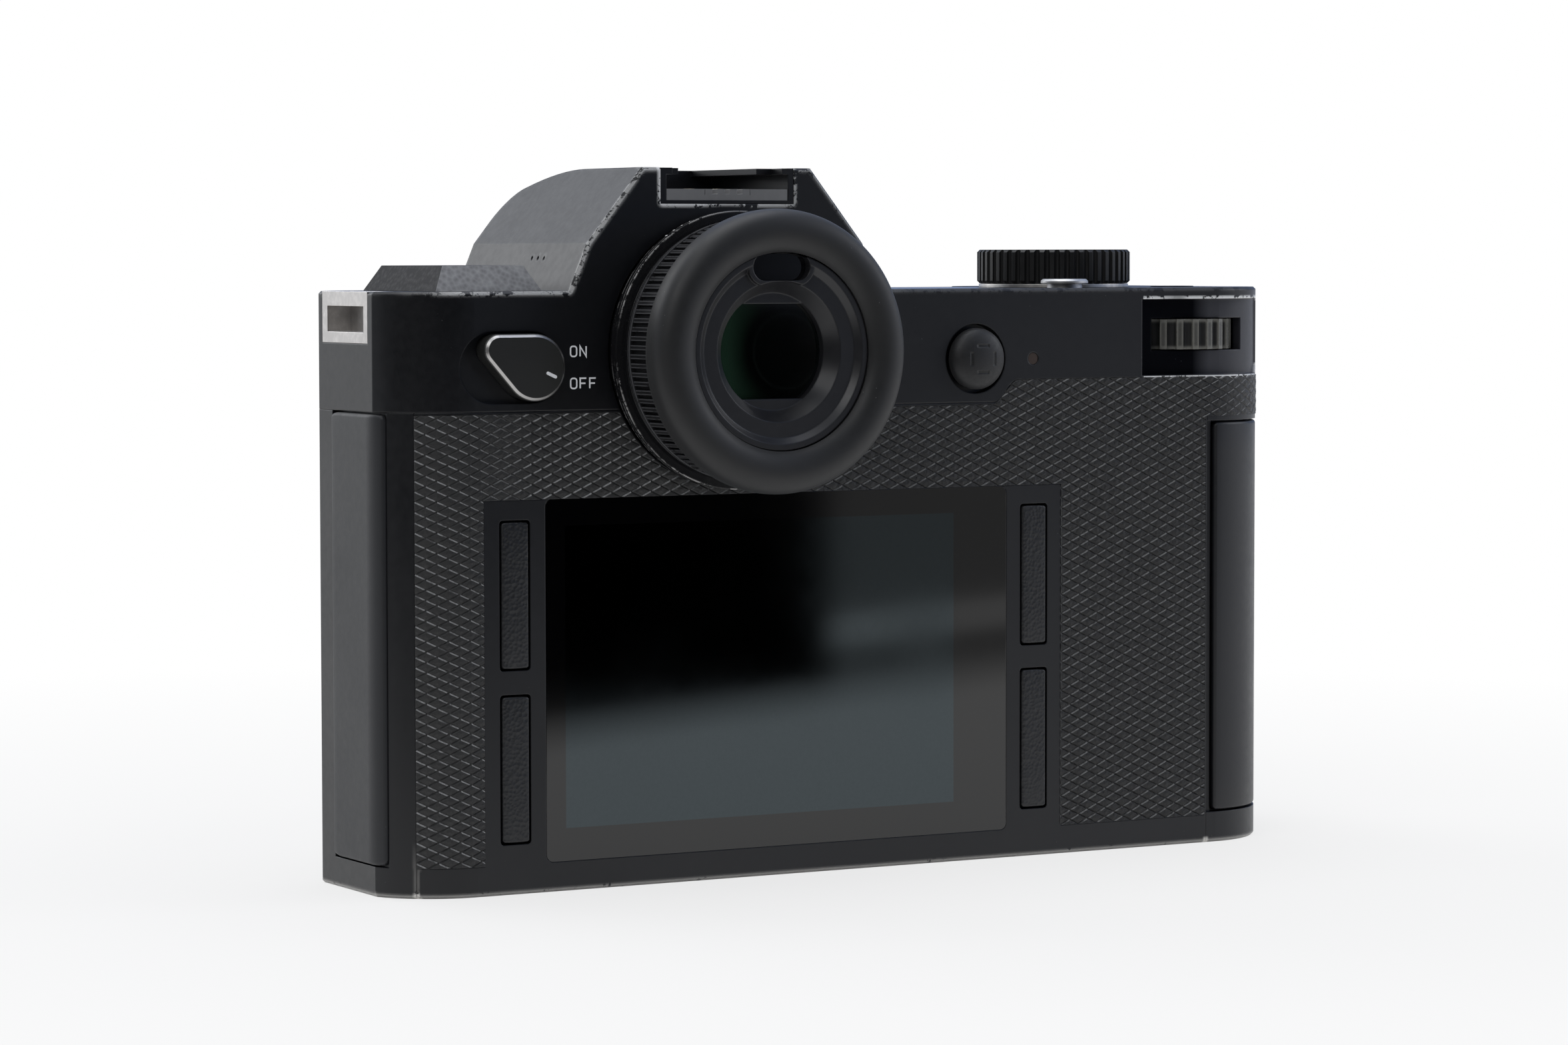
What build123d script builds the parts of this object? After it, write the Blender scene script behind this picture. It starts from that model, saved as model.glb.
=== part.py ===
from build123d import *
import os
from math import cos, pi, radians, sin, sqrt

# A mirrorless camera body without a lens, in millimetres.
# X runs to the photographer's right, Y out of the lens side, Z up.
# The origin is the mouth of the tripod socket, under the lens axis.

os.makedirs("parts", exist_ok=True)

# Clearances shared by every piece
seam = 0.05
fit = 0.1
slack = 0.3
overrun = 8.0
outer_cut = -1.5
half_turn = 180.0

# Body
body_width = 147.0
axis_to_left = 51.5
body_depth = 32.9
glass_base = 4.2
glass_height = 50.4
glass_to_eye = 20.3
eye_to_roof = 8.4
corner_radius = 13.4
corner_cut = 1.35
wall = 3.0
floor_thickness = 3.2
roof_thickness = 2.4
edge_break = 0.35
cap_drop = 16.5

body_left = -axis_to_left
body_right = body_width - axis_to_left
body_mid = (body_left + body_right) / 2
eye_z = glass_base + glass_height + glass_to_eye
body_height = eye_z + eye_to_roof
back_y = -body_depth / 2
front_y = body_depth / 2
inner_back_y = back_y + wall
inner_front_y = front_y - wall
seam_z = body_height - cap_drop
ceiling_z = body_height - roof_thickness

# Grip in front of the body, on the right
grip_width = 33.0
grip_depth = 15.0
grip_radius = 9.0
grip_inset = 0.5
grip_root_radius = 3.0
grip_side_radius = 1.2

grip_right = body_right - grip_inset
grip_left = grip_right - grip_width
grip_mid = (grip_left + grip_right) / 2
grip_front = front_y + grip_depth

# Lens mount
lens_z = 41.5
flange_proud = 6.1
flange_to_sensor = 20.0
boss_radius = 34.5
boss_height = 3.4
ring_radius = 32.6
throat_radius = 25.8
claw_gap_radius = 27.6
ring_neck_radius = 29.5
ring_set_back = 0.5
claw_thickness = 1.4
claw_groove = 1.8
claw_count = 4
claw_gap_width = 19.0
screw_circle_radius = 30.4
screw_head_radius = 1.3
screw_recess = 0.1
screw_sunk = 1.0
screw_drive = 0.4
screw_turns = (30.0, 150.0, 210.0, 305.0)

flange_y = front_y + flange_proud
boss_front = front_y + boss_height
ring_back = inner_front_y + ring_set_back
sensor_y = flange_y - flange_to_sensor

# Viewfinder hump
hump_rise = 17.2
hump_rises = (0, 6.6, 12.4, hump_rise)
hump_half_widths = (24.9, 22.1, 17.4, 13.5)
hump_root_drop = 22.0
crown_back = 18.65
brow_mid_back = 11.25
brow_mid_drop = 0.63
brow_back = 3.85
brow_drop = 2.5
brow_bend_back = 1.05
brow_bend_drop = 4.4
brow_foot_drop = 7.9

hump_top = body_height + hump_rise
hump_root_z = body_height - hump_root_drop
crown_y = boss_front - crown_back
brow_mid_y = boss_front - brow_mid_back
brow_y = boss_front - brow_back
brow_bend_y = boss_front - brow_bend_back
brow_mid_z = hump_top - brow_mid_drop
brow_z = hump_top - brow_drop
brow_bend_z = hump_top - brow_bend_drop
brow_foot_z = hump_top - brow_foot_drop

# Hot shoe
shoe_width = 21.4
shoe_drop = 5.1
shoe_length = 23.5
shoe_under = 2.2
rail_sheet = 0.9
rail_lip_gap = 12.6
rail_mouth_gap = 17.6
rail_mouth_length = 3.0
rail_base = 0.5
foot_height = 2.1
shoe_rib_count = 3
shoe_rib_width = 0.9
shoe_rib_pitch = 2.0
shoe_rib_height = 0.7
shoe_insert_split = 6.9
shoe_insert_width = 7.2
contact_radius = 1.2
small_contact_radius = 0.75
contact_proud = 0.12
contact_depth = 0.8
contact_spread = 4.6

shoe_z = hump_top - shoe_drop
shoe_front = back_y + shoe_length
shoe_half = shoe_width / 2
rail_inner = shoe_half - seam - rail_sheet
rail_under_z = hump_top - rail_sheet
shoe_floor_z = rail_under_z - foot_height

# Eyepiece, stacked backwards from the back plane
eye_hole_radius = 19.0
drum_neck_radius = 18.6
drum_radius = 19.33
drum_bore = 14.6
drum_stand_off = 1.5
drum_tick_band = 1.25
bead_radius = 19.55
bead_width = 0.7
groove_radius = 18.0
groove_width = 0.85
tube_radius = 16.4
ring_bore_gap = 0.1
diopter_radius = 18.1
diopter_lip_radius = 18.3
diopter_lip_width = 0.5
diopter_width = 5.9
diopter_tooth_count = 90
diopter_tooth_depth = 0.5
cup_radius = 19.75
cup_length = 7.3
cup_opening = 13.75
cup_opening_depth = 2.1
cup_seat_radius = 14.9
cup_heel_radius = 18.2
cup_heel_run = 0.9
cup_swell_run = 2.4
bezel_bead_radius = 12.8
bezel_plate_radius = 11.95
bezel_bead_width = 0.85
bezel_plate_drop = 1.1
bezel_thickness = 3.4
window_radius = 9.76
window_seat_radius = 8.15
window_depth = 2.0
window_height = 13.2
lens_thickness = 2.6
eye_sensor_width = 9.0
eye_sensor_height = 3.75
eye_sensor_up = 11.7
eye_sensor_rim = 0.7
eye_sensor_glass = 1.0

drum_back = back_y - drum_stand_off
bead_back = drum_back - drum_tick_band - bead_width
groove_back = bead_back - groove_width
diopter_front = groove_back - fit
diopter_back = diopter_front - diopter_width
cup_front = diopter_back - slack
tube_back = cup_front - slack
cup_back = cup_front - cup_length
cup_edge_y = cup_back + cup_opening_depth
plate_y = cup_edge_y + bezel_plate_drop
bezel_front = plate_y + bezel_thickness

# Viewfinder tube behind the eyepiece, inside the body
finder_radius = 13.0
finder_wall = 1.5
finder_flange_radius = 16.5
finder_flange = 1.0

# Screen
glass_left = -28.85
glass_width = 75.1
glass_thickness = 1.2
glass_radius = 1.0
panel_margin = 2.2
panel_thickness = 2.2

glass_right = glass_left + glass_width
glass_mid_x = glass_left + glass_width / 2
glass_mid_z = glass_base + glass_height / 2
glass_top = glass_base + glass_height

# Bar buttons on both sides of the screen
bar_width = 4.5
bar_margin = 2.85
bar_gap = 3.5
bar_to_glass = 2.5
bar_proud = 0.2
bar_thickness = 2.2
bar_travel_room = 0.6
bar_radius = 0.4

bar_height = (glass_height - 2 * bar_margin - bar_gap) / 2
bar_pitch = bar_height + bar_gap
bar_low_z = glass_base + bar_margin + bar_height / 2
bar_left_x = glass_left - bar_to_glass - bar_width / 2
bar_right_x = glass_right + bar_to_glass + bar_width / 2

# Rear leather covering, an inverted U round the screen panel
rear_cover_margin = 4.0
cover_sheet = 0.5
cover_recess = 0.4
cover_low_z = 4.2
cover_top_drop = 16.9
cover_high_drop = 13.3
cover_step_x = 43.6
cover_step_width = 5.0
panel_side = 2.5
cover_eye_gap = 0.25

rear_left = body_left + rear_cover_margin
cover_top = body_height - cover_top_drop
cover_high = body_height - cover_high_drop
panel_left = bar_left_x - bar_width / 2 - panel_side
panel_right = bar_right_x + bar_width / 2 + panel_side
cover_out = cover_sheet - cover_recess
cover_front_start = 9.6

# Power switch
power_x = -31.0
power_drop = 10.45
power_recess_radius = 4.96
power_recess_reach = 5.75
power_recess_depth = 1.3
lever_radius = 4.65
lever_tip_radius = 2.15
lever_tip_reach = 6.1
lever_tip_angle = 156.0
lever_height = 3.0
lever_bevel = 0.5
lever_shaft_radius = 1.5
lever_shaft_length = 2.6
mark_length = 1.8
mark_width = 0.5
mark_reach = 2.55
mark_depth = 0.15

power_z = body_height - power_drop
power_floor_y = back_y + power_recess_depth

# Joystick
stick_x = 41.0
stick_drop = 10.15
stick_well_radius = 5.05
stick_well_depth = 1.4
stick_cap_radius = 4.45
stick_cap_lift = 0.25
stick_cap_height = 2.6
stick_rim = 0.5
stick_crown_radius = 2.0
stick_stem_radius = 1.3
stick_ball_radius = 1.9
stick_hole_radius = 2.1
gimbal_outer = 4.0
gimbal_inner = 2.2
gimbal_width = 1.2
gimbal_pin_radius = 0.35
gimbal_pin_length = 0.9
carrier_outer = 5.4
carrier_width = 2.2

stick_z = body_height - stick_drop
carrier_front_y = inner_back_y + carrier_width + fit
stick_pivot_y = inner_back_y + fit + carrier_width / 2

# Status lamp
lamp_x = 50.9
lamp_drop = 10.25
lamp_radius = 0.85
lamp_length = 2.6
lamp_sunk = 0.1
lamp_z = body_height - lamp_drop

# Thumb wheel in its recess, on a sprung carriage
thumb_reach = 25.5
thumb_low_drop = 13.1
thumb_top_drop = 1.7
thumb_recess = 2.2
thumb_turn_reach = 10.2
thumb_turn_radius = 12.5
thumb_lip_rise = 1.4
thumb_backing = 2.6
wheel_reach = 14.1
wheel_radius = 9.6
wheel_height = 4.5
wheel_drop = 7.0
wheel_proud = 1.5
wheel_rib_count = 24
wheel_rib_radius = 0.75
wheel_slot_width = 16.6
wheel_bore = 2.0
carriage_margin = 0.6
carriage_sheet = 1.0
carriage_front = 1.0
carriage_travel_room = 0.8
carriage_half_width = 8.0

thumb_left = body_right - thumb_reach
thumb_turn_x = body_right - thumb_turn_reach
wheel_x = body_right - wheel_reach
thumb_low_z = body_height - thumb_low_drop
thumb_top_z = body_height - thumb_top_drop
wheel_z = body_height - wheel_drop
thumb_floor_y = back_y + thumb_recess
wheel_y = thumb_floor_y - wheel_proud + wheel_radius
backing_y = inner_back_y + thumb_backing

# Top dial
dial_reach = 27.8
dial_y = 4.3
dial_radius = 11.55
dial_height = 5.1
dial_ring_radius = 11.3
dial_ring_height = 0.5
dial_shaft_radius = 4.0
dial_shaft_length = 4.6
dial_rib_count = 48
dial_rib_radius = 0.42
dial_bevel = 0.4

dial_x = body_right - dial_reach

# Shutter button on the grip
shutter_reach = 16.7
shutter_back_reach = 7.45
shutter_radius = 4.6
shutter_height = 1.1
shutter_collar_radius = 6.6
shutter_collar_height = 0.5
shutter_length = 4.2
shutter_dish_radius = 14.0
shutter_dish_depth = 0.45

shutter_x = body_right - shutter_reach
shutter_y = grip_front - shutter_back_reach

# Buttons on the top plate
menu_reach = 35.7
menu_forward = 5.45
menu_radius = 3.5
menu_height = 1.3
menu_length = 4.0
menu_collar = 2.6
menu_bevel = 0.3
play_reach = 12.0
play_forward = 12.15
play_radius = 3.25
play_height = 0.15
play_length = 1.9

menu_x = body_right - menu_reach
menu_y = back_y + menu_forward
play_x = body_right - play_reach
play_y = back_y + play_forward

# Top display
top_glass_x = 41.0
top_glass_y = 1.5
top_glass_width = 23.0
top_glass_depth = 15.0
top_glass_thickness = 1.4
top_glass_radius = 1.5

# Radio antenna cover on the left of the top
antenna_left = -43.5
antenna_right = -27.2
antenna_back = 4.05
antenna_front = 5.0
antenna_height = 3.55
antenna_slope = 29.0
antenna_key = 1.2
antenna_key_margin = 3.0

antenna_y0 = back_y + antenna_back
antenna_y1 = front_y - antenna_front

# Microphone holes in the hump's flanks
mic_z = 87.8
mic_y = -2.7
mic_pitch = 1.87
mic_radius = 0.27
mic_depth = 1.6
mic_count = 3

# Strap lugs
lug_back = -7.45
lug_front = 7.65
lug_height = 7.1
lug_depth = 4.1
lug_slot_back = -6.15
lug_slot_front = 5.9
lug_slot_low = 1.5
lug_slot_height = 3.6
lug_bar = 1.4
lug_mouth = 2.1
lug_low_z = body_height - lug_height

# Terminal cover on the left side and the sockets under it
flap_front = 4.4
flap_back_x = 1.2
flap_low_z = 4.2
flap_sheet = 1.5
flap_proud = 0.4
flap_gap = 0.15
port_y = -2.6
hdmi_share = 0.788
hdmi_height = 16.0
hdmi_width = 6.6
hdmi_mouth_height = 14.1
hdmi_mouth_width = 4.6
usb_share = 0.524
usb_height = 11.6
usb_width = 5.6
usb_mouth_height = 9.4
usb_mouth_width = 3.4
port_depth = 7.0
port_mouth_depth = 5.5
port_tongue_share = 0.72
port_tongue_sheet = 0.8
mic_jack_share = 0.317
phone_jack_share = 0.131
jack_radius = 3.4
jack_bore = 1.8

flap_floor = flap_sheet - flap_proud + fit
flap_hinge_radius = flap_sheet / 2
flap_hinge_x = body_left - flap_proud + flap_hinge_radius
flap_hinge_y = flap_front - flap_gap - flap_hinge_radius
flap_top_z = seam_z - seam
flap_height = flap_top_z - flap_low_z
hdmi_z = flap_low_z + hdmi_share * flap_height
usb_z = flap_low_z + usb_share * flap_height
mic_jack_z = flap_low_z + mic_jack_share * flap_height
phone_jack_z = flap_low_z + phone_jack_share * flap_height

# Card door on the right rear corner
rear_right_reach = 13.8
door_reach = 12.6
door_front = 7.2
door_low_z = 4.55
door_drop = 3.4
door_sheet = 1.6
door_gap = 0.15
door_groove = 0.8
slider_sheet = 0.6
slider_sag = 0.35
slider_width = 3.4
slider_margin = 1.5
card_bay_reach = 33.5
card_bay_inset = 7.5
card_bay_behind = 4.25
card_bay_depth = 7.6
card_bay_low = 7.4
card_bay_drop = 6.8
card_width = 24.4
card_thickness = 2.4
card_slot_depth = 22.0
card_gap = 1.3
door_window_behind = 0.6
door_window_short = 0.2

rear_right = body_right - rear_right_reach
door_left = body_right - door_reach
door_high_z = seam_z - door_drop
card_bay_left = body_right - card_bay_reach
card_bay_right = body_right - card_bay_inset
card_bay_back = back_y + card_bay_behind
card_bay_front = card_bay_back + card_bay_depth
card_bay_high = seam_z - card_bay_drop
door_hinge_radius = door_sheet / 2
door_hinge_x = door_left + door_gap + door_hinge_radius
door_hinge_y = back_y + door_hinge_radius
door_window_back = card_bay_back + door_window_behind
door_window_front = card_bay_front - door_window_short

# Battery and its latch
battery_reach = 15.65
battery_width = 25.0
battery_depth = 23.0
battery_height = 60.0
battery_radius = 5.0
battery_sunk = 0.15
latch_reach = 20.0
latch_back = 3.2
latch_width = 5.5
latch_depth = 7.0
latch_sheet = 1.5
latch_travel_room = 3.0
latch_grip_count = 3
latch_grip_width = 0.6
latch_grip_pitch = 1.5
latch_grip_depth = 0.4
latch_floor = 2.0

battery_x = grip_mid
battery_y = grip_front - battery_reach
latch_x = battery_x - latch_reach
latch_y = battery_y - latch_back

# Tripod socket, a quarter inch thread of 20 turns to the inch
socket_radius = 2.6
socket_depth = 5.5
bush_radius = 4.7
bush_height = 6.6

# Inside
chassis_left = -39.0
chassis_to_grip = 5.0
chassis_thickness = 3.9
frame_half_width = 30.0
shutter_frame_thickness = 4.4
gate_width = 37.4
gate_height = 25.0
curtain_height = 25.4
curtain_sheet = 0.3
curtain_slot = 1.7
curtain_gap = 0.3
curtain_margin = 0.8
holder_half_width = 27.0
holder_half_height = 19.0
holder_thickness = 6.4
chip_width = 40.0
chip_height = 28.0
chip_thickness = 2.0
baffle_thickness = 2.6
baffle_hole_width = 38.5
baffle_hole_height = 26.5

chassis_right = grip_left - chassis_to_grip
chassis_back = inner_front_y - chassis_thickness
shutter_back = chassis_back - shutter_frame_thickness
holder_back = shutter_back - holder_thickness
finder_end = holder_back - slack

# Buttons on the front
release_x = 40.5
release_z = 29.0
release_radius = 5.0
release_proud = 1.6
release_length = 6.0
pin_radius = 1.2
pin_proud = 1.5
pin_length = 6.5
pin_angle = -18.0
pin_bevel = 0.4
function_x = 40.5
function_z = 55.0
function_radius = 3.3
function_proud = 0.8
function_length = 4.6
contact_block_width = 19.0
contact_block_rise = 4.6
contact_block_depth = 1.0
mount_contact_circle = 23.6
mount_contact_proud = 0.4
mount_contact_count = 10
mount_contact_radius = 0.55
mount_contact_pitch = 1.7


def save(piece, name):
    """Write one finished piece under its own name."""
    piece.part.label = name
    export_step(piece.part, f"parts/{name}.step")


def facing_back(y):
    """A drawing plane at depth y, with X to the right and Z up, whose outward side is the back."""
    return Plane.XZ.offset(-y)


def slab(x0, x1, y0, y1, z0, z1, mode=Mode.ADD):
    """A box between two corners."""
    with Locations(((x0 + x1) / 2, (y0 + y1) / 2, (z0 + z1) / 2)):
        Box(x1 - x0, y1 - y0, z1 - z0, mode=mode)


def pin_y(x, z, radius, y0, y1, mode=Mode.ADD):
    """A cylinder along Y between two depths."""
    with BuildSketch(facing_back(y1)) as disc:
        with Locations((x, z)):
            Circle(radius)
    extrude(disc.sketch, amount=y1 - y0, mode=mode)


def pin_z(x, y, radius, z0, z1, mode=Mode.ADD):
    """An upright cylinder between two heights."""
    with BuildSketch(Plane.XY.offset(z0)) as disc:
        with Locations((x, y)):
            Circle(radius)
    extrude(disc.sketch, amount=z1 - z0, mode=mode)


def pin_x(y, z, radius, x0, x1, mode=Mode.ADD):
    """A cylinder along X between two places."""
    with BuildSketch(Plane.YZ.offset(x0)) as disc:
        with Locations((y, z)):
            Circle(radius)
    extrude(disc.sketch, amount=x1 - x0, mode=mode)


def turn(outline, axis_z, mode=Mode.ADD, axis_x=0):
    """Turn an outline of (y, radius) points round an axis along Y."""
    with BuildSketch(Plane.YZ.offset(axis_x)) as section:
        with BuildLine():
            Polyline(*[(y, axis_z + radius) for y, radius in outline], close=True)
        make_face()
    revolve(section.sketch, axis=Axis((axis_x, 0, axis_z), (0, 1, 0)), mode=mode)


def draw_plan(inset):
    """The body seen from above with its grip, drawn in by an inset."""
    with Locations((body_mid, 0)):
        RectangleRounded(
            body_width + 2 * (corner_cut - inset),
            body_depth - 2 * inset,
            corner_radius - inset,
        )
        Rectangle(body_width - 2 * inset, body_depth, mode=Mode.INTERSECT)
    with Locations((grip_mid, grip_front / 2)):
        RectangleRounded(
            grip_width - 2 * inset, grip_front - 2 * inset, grip_radius - inset
        )


def plan_at(inset, z):
    """The plan at a height, drawn in by an inset, rounded where the grip meets the body."""
    with BuildSketch(Plane.XY.offset(z)) as plan:
        draw_plan(inset)
        root = plan.vertices().sort_by_distance((grip_left + inset, front_y - inset, z))
        fillet(root[0], grip_root_radius + inset)
        if inset < wall:
            side = plan.vertices().filter_by(lambda v: abs(v.X - grip_right + inset) < fit)
            fillet(side.sort_by(Axis.Y)[0], grip_side_radius)
    return plan.sketch


def plan_block(inset, z0, z1, mode=Mode.ADD):
    """The plan drawn in by an inset, between two heights."""
    extrude(plan_at(inset, z0), amount=z1 - z0, mode=mode)


def skin(outer, inner, z0, z1):
    """The layer of the body's sides between two insets."""
    plan_block(outer, z0, z1)
    plan_block(inner, z0, z1, mode=Mode.SUBTRACT)


def draw_hump(inset):
    """The hump seen from behind, down to its root inside the body."""
    right = [
        (half, body_height + rise)
        for half, rise in zip(hump_half_widths, hump_rises, strict=True)
    ]
    right = [(hump_half_widths[0], hump_root_z), *right]
    left = [(-half, z) for half, z in reversed(right)]
    with BuildLine() as outline:
        Polyline(*right, *left, close=True)
    make_face(outline.edges())
    if inset:
        offset(amount=-inset, kind=Kind.INTERSECTION)


def draw_rear_covering():
    """The rear covering's outline, stepped up at the right, round the screen panel."""
    step_end = cover_step_x + cover_step_width
    step_mid = cover_step_x + cover_step_width / 2
    with BuildLine() as outline:
        Polyline(
            (cover_step_x, cover_top),
            (rear_left, cover_top),
            (rear_left, cover_low_z),
            (panel_left, cover_low_z),
            (panel_left, glass_top),
            (panel_right, glass_top),
            (panel_right, cover_low_z),
            (rear_right - slack, cover_low_z),
            (rear_right - slack, cover_high),
            (step_end, cover_high),
        )
        Bezier(
            (step_end, cover_high),
            (step_mid, cover_high),
            (step_mid, cover_top),
            (cover_step_x, cover_top),
        )
    make_face(outline.edges())
    with Locations((0, eye_z)):
        Circle(eye_hole_radius + cover_eye_gap, mode=Mode.SUBTRACT)


def rear_sheet(outer, inner):
    """The rear covering as a layer between two insets of the body."""
    skin(outer, inner, cover_low_z - overrun, cover_high + overrun)
    with BuildSketch(facing_back(0)) as outline:
        draw_rear_covering()
    extrude(outline.sketch, amount=body_depth, mode=Mode.INTERSECT)


def front_sheet(outer, inner):
    """The covering on the front and the grip as a layer between two insets."""
    skin(outer, inner, cover_low_z, cover_top)
    slab(
        rear_left,
        body_right + overrun,
        cover_front_start,
        grip_front + overrun,
        cover_low_z,
        cover_top,
        mode=Mode.INTERSECT,
    )
    pin_y(0, lens_z, boss_radius + slack, 0, grip_front, mode=Mode.SUBTRACT)
    for x, z, radius in front_buttons:
        pin_y(x, z, radius + slack, 0, flange_y, mode=Mode.SUBTRACT)


def flap_layer(outer, inner, gap):
    """The terminal cover's place on the left side, smaller by a gap all round."""
    skin(outer, inner, flap_low_z + gap, flap_top_z - gap)
    slab(
        body_left - overrun,
        body_left + flap_back_x - gap,
        back_y,
        flap_front - gap,
        0,
        body_height,
        mode=Mode.INTERSECT,
    )


def door_layer(outer, inner, gap):
    """The card door's place round the right rear corner, smaller by a gap all round."""
    skin(outer, inner, door_low_z + gap, door_high_z - gap)
    slab(
        door_left + gap,
        body_right + overrun,
        back_y - overrun,
        door_front - gap,
        0,
        body_height,
        mode=Mode.INTERSECT,
    )


front_buttons = (
    (release_x, release_z, release_radius),
    (function_x, function_z, function_radius),
)
bar_places = {
    "screen_button_upper_left": (bar_left_x, bar_low_z + bar_pitch),
    "screen_button_lower_left": (bar_left_x, bar_low_z),
    "screen_button_upper_right": (bar_right_x, bar_low_z + bar_pitch),
    "screen_button_lower_right": (bar_right_x, bar_low_z),
}
top_holes = (
    (dial_x, dial_y, dial_shaft_radius + fit),
    (menu_x, menu_y, menu_collar + fit),
    (play_x, play_y, play_radius + fit),
)


def on_screw_circle(angle):
    """A place in X and Z on the circle of the mount's screws."""
    along = radians(angle)
    return screw_circle_radius * cos(along), lens_z + screw_circle_radius * sin(along)


screw_places = [on_screw_circle(angle) for angle in screw_turns]
lock_x, lock_z = on_screw_circle(pin_angle)

# The whole outer form, from which the covers are cut
with BuildPart() as hump_form:
    with BuildSketch(facing_back(boss_front)):
        draw_hump(0)
    extrude(amount=boss_front - back_y)
    with BuildSketch(Plane.YZ):
        with BuildLine():
            Polyline(
                (boss_front, brow_foot_z),
                (boss_front, hump_root_z),
                (back_y, hump_root_z),
                (back_y, hump_top),
                (crown_y, hump_top),
            )
            ThreePointArc((crown_y, hump_top), (brow_mid_y, brow_mid_z), (brow_y, brow_z))
            ThreePointArc(
                (brow_y, brow_z), (brow_bend_y, brow_bend_z), (boss_front, brow_foot_z)
            )
        make_face()
    extrude(amount=body_depth, both=True, mode=Mode.INTERSECT)
    rear_rim = hump_form.faces().sort_by(Axis.Y)[0].edges()
    chamfer(
        [edge for edge in rear_rim if edge.center().Z > body_height], length=edge_break
    )

with BuildPart() as outer_form:
    plan_block(0, 0, body_height)
    rims = outer_form.faces().sort_by(Axis.Z)
    chamfer(rims[0].edges() + rims[-1].edges(), length=edge_break)
    pin_y(0, lens_z, boss_radius, 0, boss_front)
    add(hump_form.part)
    pin_y(0, lens_z, ring_neck_radius + seam, 0, flange_y, mode=Mode.SUBTRACT)
    pin_y(0, eye_z, eye_hole_radius, back_y - overrun, inner_back_y, mode=Mode.SUBTRACT)
    pin_y(lock_x, lock_z, pin_radius + fit, 0, flange_y, mode=Mode.SUBTRACT)

# Seats sunk into the outside for the coverings, the flap and the door
with BuildPart() as flap_seat:
    flap_layer(outer_cut, flap_floor, 0)

with BuildPart() as door_seat:
    door_layer(outer_cut, door_sheet + fit, 0)

with BuildPart() as front_seat:
    front_sheet(outer_cut, cover_recess)

with BuildPart() as rear_seat:
    rear_sheet(outer_cut, cover_recess)

# Body shell: floor, sides, front and grip
with BuildPart() as body_shell:
    add(outer_form.part)
    split(bisect_by=Plane.XY.offset(seam_z - seam), keep=Keep.BOTTOM)
    plan_block(wall, floor_thickness, body_height, mode=Mode.SUBTRACT)
    slab(
        rear_left,
        rear_right,
        back_y - overrun,
        inner_back_y,
        -overrun,
        body_height,
        mode=Mode.SUBTRACT,
    )
    for x, z, radius in front_buttons:
        pin_y(x, z, radius + fit, 0, flange_y, mode=Mode.SUBTRACT)
    pin_z(0, 0, bush_radius + seam, -overrun, floor_thickness + seam, mode=Mode.SUBTRACT)
    with BuildSketch(Plane.XY.offset(-overrun)):
        with Locations((battery_x, battery_y)):
            RectangleRounded(
                battery_width + 2 * fit, battery_depth + 2 * fit, battery_radius + fit
            )
    extrude(amount=overrun + floor_thickness, mode=Mode.SUBTRACT)
    slab(
        latch_x - latch_width / 2 - latch_travel_room,
        latch_x + latch_width / 2 + fit,
        latch_y - latch_depth / 2 - fit,
        latch_y + latch_depth / 2 + fit,
        -overrun,
        latch_floor,
        mode=Mode.SUBTRACT,
    )
    for z, height, width in (
        (hdmi_z, hdmi_height, hdmi_width),
        (usb_z, usb_height, usb_width),
    ):
        slab(
            body_left - overrun,
            body_left + wall + fit,
            port_y - width / 2 - seam,
            port_y + width / 2 + seam,
            z - height / 2 - seam,
            z + height / 2 + seam,
            mode=Mode.SUBTRACT,
        )
    for z in (mic_jack_z, phone_jack_z):
        with BuildSketch(Plane.YZ.offset(body_left - overrun)):
            with Locations((port_y, z)):
                Circle(jack_radius + seam)
        extrude(amount=overrun + wall + fit, mode=Mode.SUBTRACT)
    slab(
        card_bay_right,
        body_right + overrun,
        door_window_back,
        door_window_front,
        card_bay_low + card_gap,
        card_bay_high - card_gap,
        mode=Mode.SUBTRACT,
    )
    slab(
        rear_right,
        door_left + seam,
        back_y - overrun,
        back_y + door_groove,
        door_low_z,
        door_high_z,
        mode=Mode.SUBTRACT,
    )
    slab(
        door_left + door_gap,
        door_left + door_gap + slider_width,
        back_y,
        back_y + door_sheet + slider_sag + slider_sheet + 2 * fit,
        door_low_z + slider_margin,
        door_high_z - slider_margin,
        mode=Mode.SUBTRACT,
    )
    add(flap_seat.part, mode=Mode.SUBTRACT)
    add(door_seat.part, mode=Mode.SUBTRACT)
    add(front_seat.part, mode=Mode.SUBTRACT)
    add(rear_seat.part, mode=Mode.SUBTRACT)
save(body_shell, "body_shell")

# Rear cover, carrying the screen and its buttons
with BuildPart() as rear_cover:
    add(outer_form.part)
    slab(
        rear_left + seam,
        rear_right - seam,
        back_y - overrun,
        inner_back_y,
        -overrun,
        seam_z - seam,
        mode=Mode.INTERSECT,
    )
    with BuildSketch(facing_back(back_y + glass_thickness)):
        with Locations((glass_mid_x, glass_mid_z)):
            RectangleRounded(glass_width + 2 * seam, glass_height + 2 * seam, glass_radius)
    extrude(amount=overrun, mode=Mode.SUBTRACT)
    slab(
        glass_left + panel_margin - fit,
        glass_right - panel_margin + fit,
        back_y,
        inner_back_y + overrun,
        glass_base + panel_margin - fit,
        glass_top - panel_margin + fit,
        mode=Mode.SUBTRACT,
    )
    bar_floor = back_y - bar_proud + bar_thickness + bar_travel_room
    with BuildSketch(facing_back(bar_floor)):
        with Locations(*bar_places.values()):
            RectangleRounded(bar_width + 2 * fit, bar_height + 2 * fit, bar_radius + fit)
    extrude(amount=overrun, mode=Mode.SUBTRACT)
    add(rear_seat.part, mode=Mode.SUBTRACT)
save(rear_cover, "rear_cover")

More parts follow.
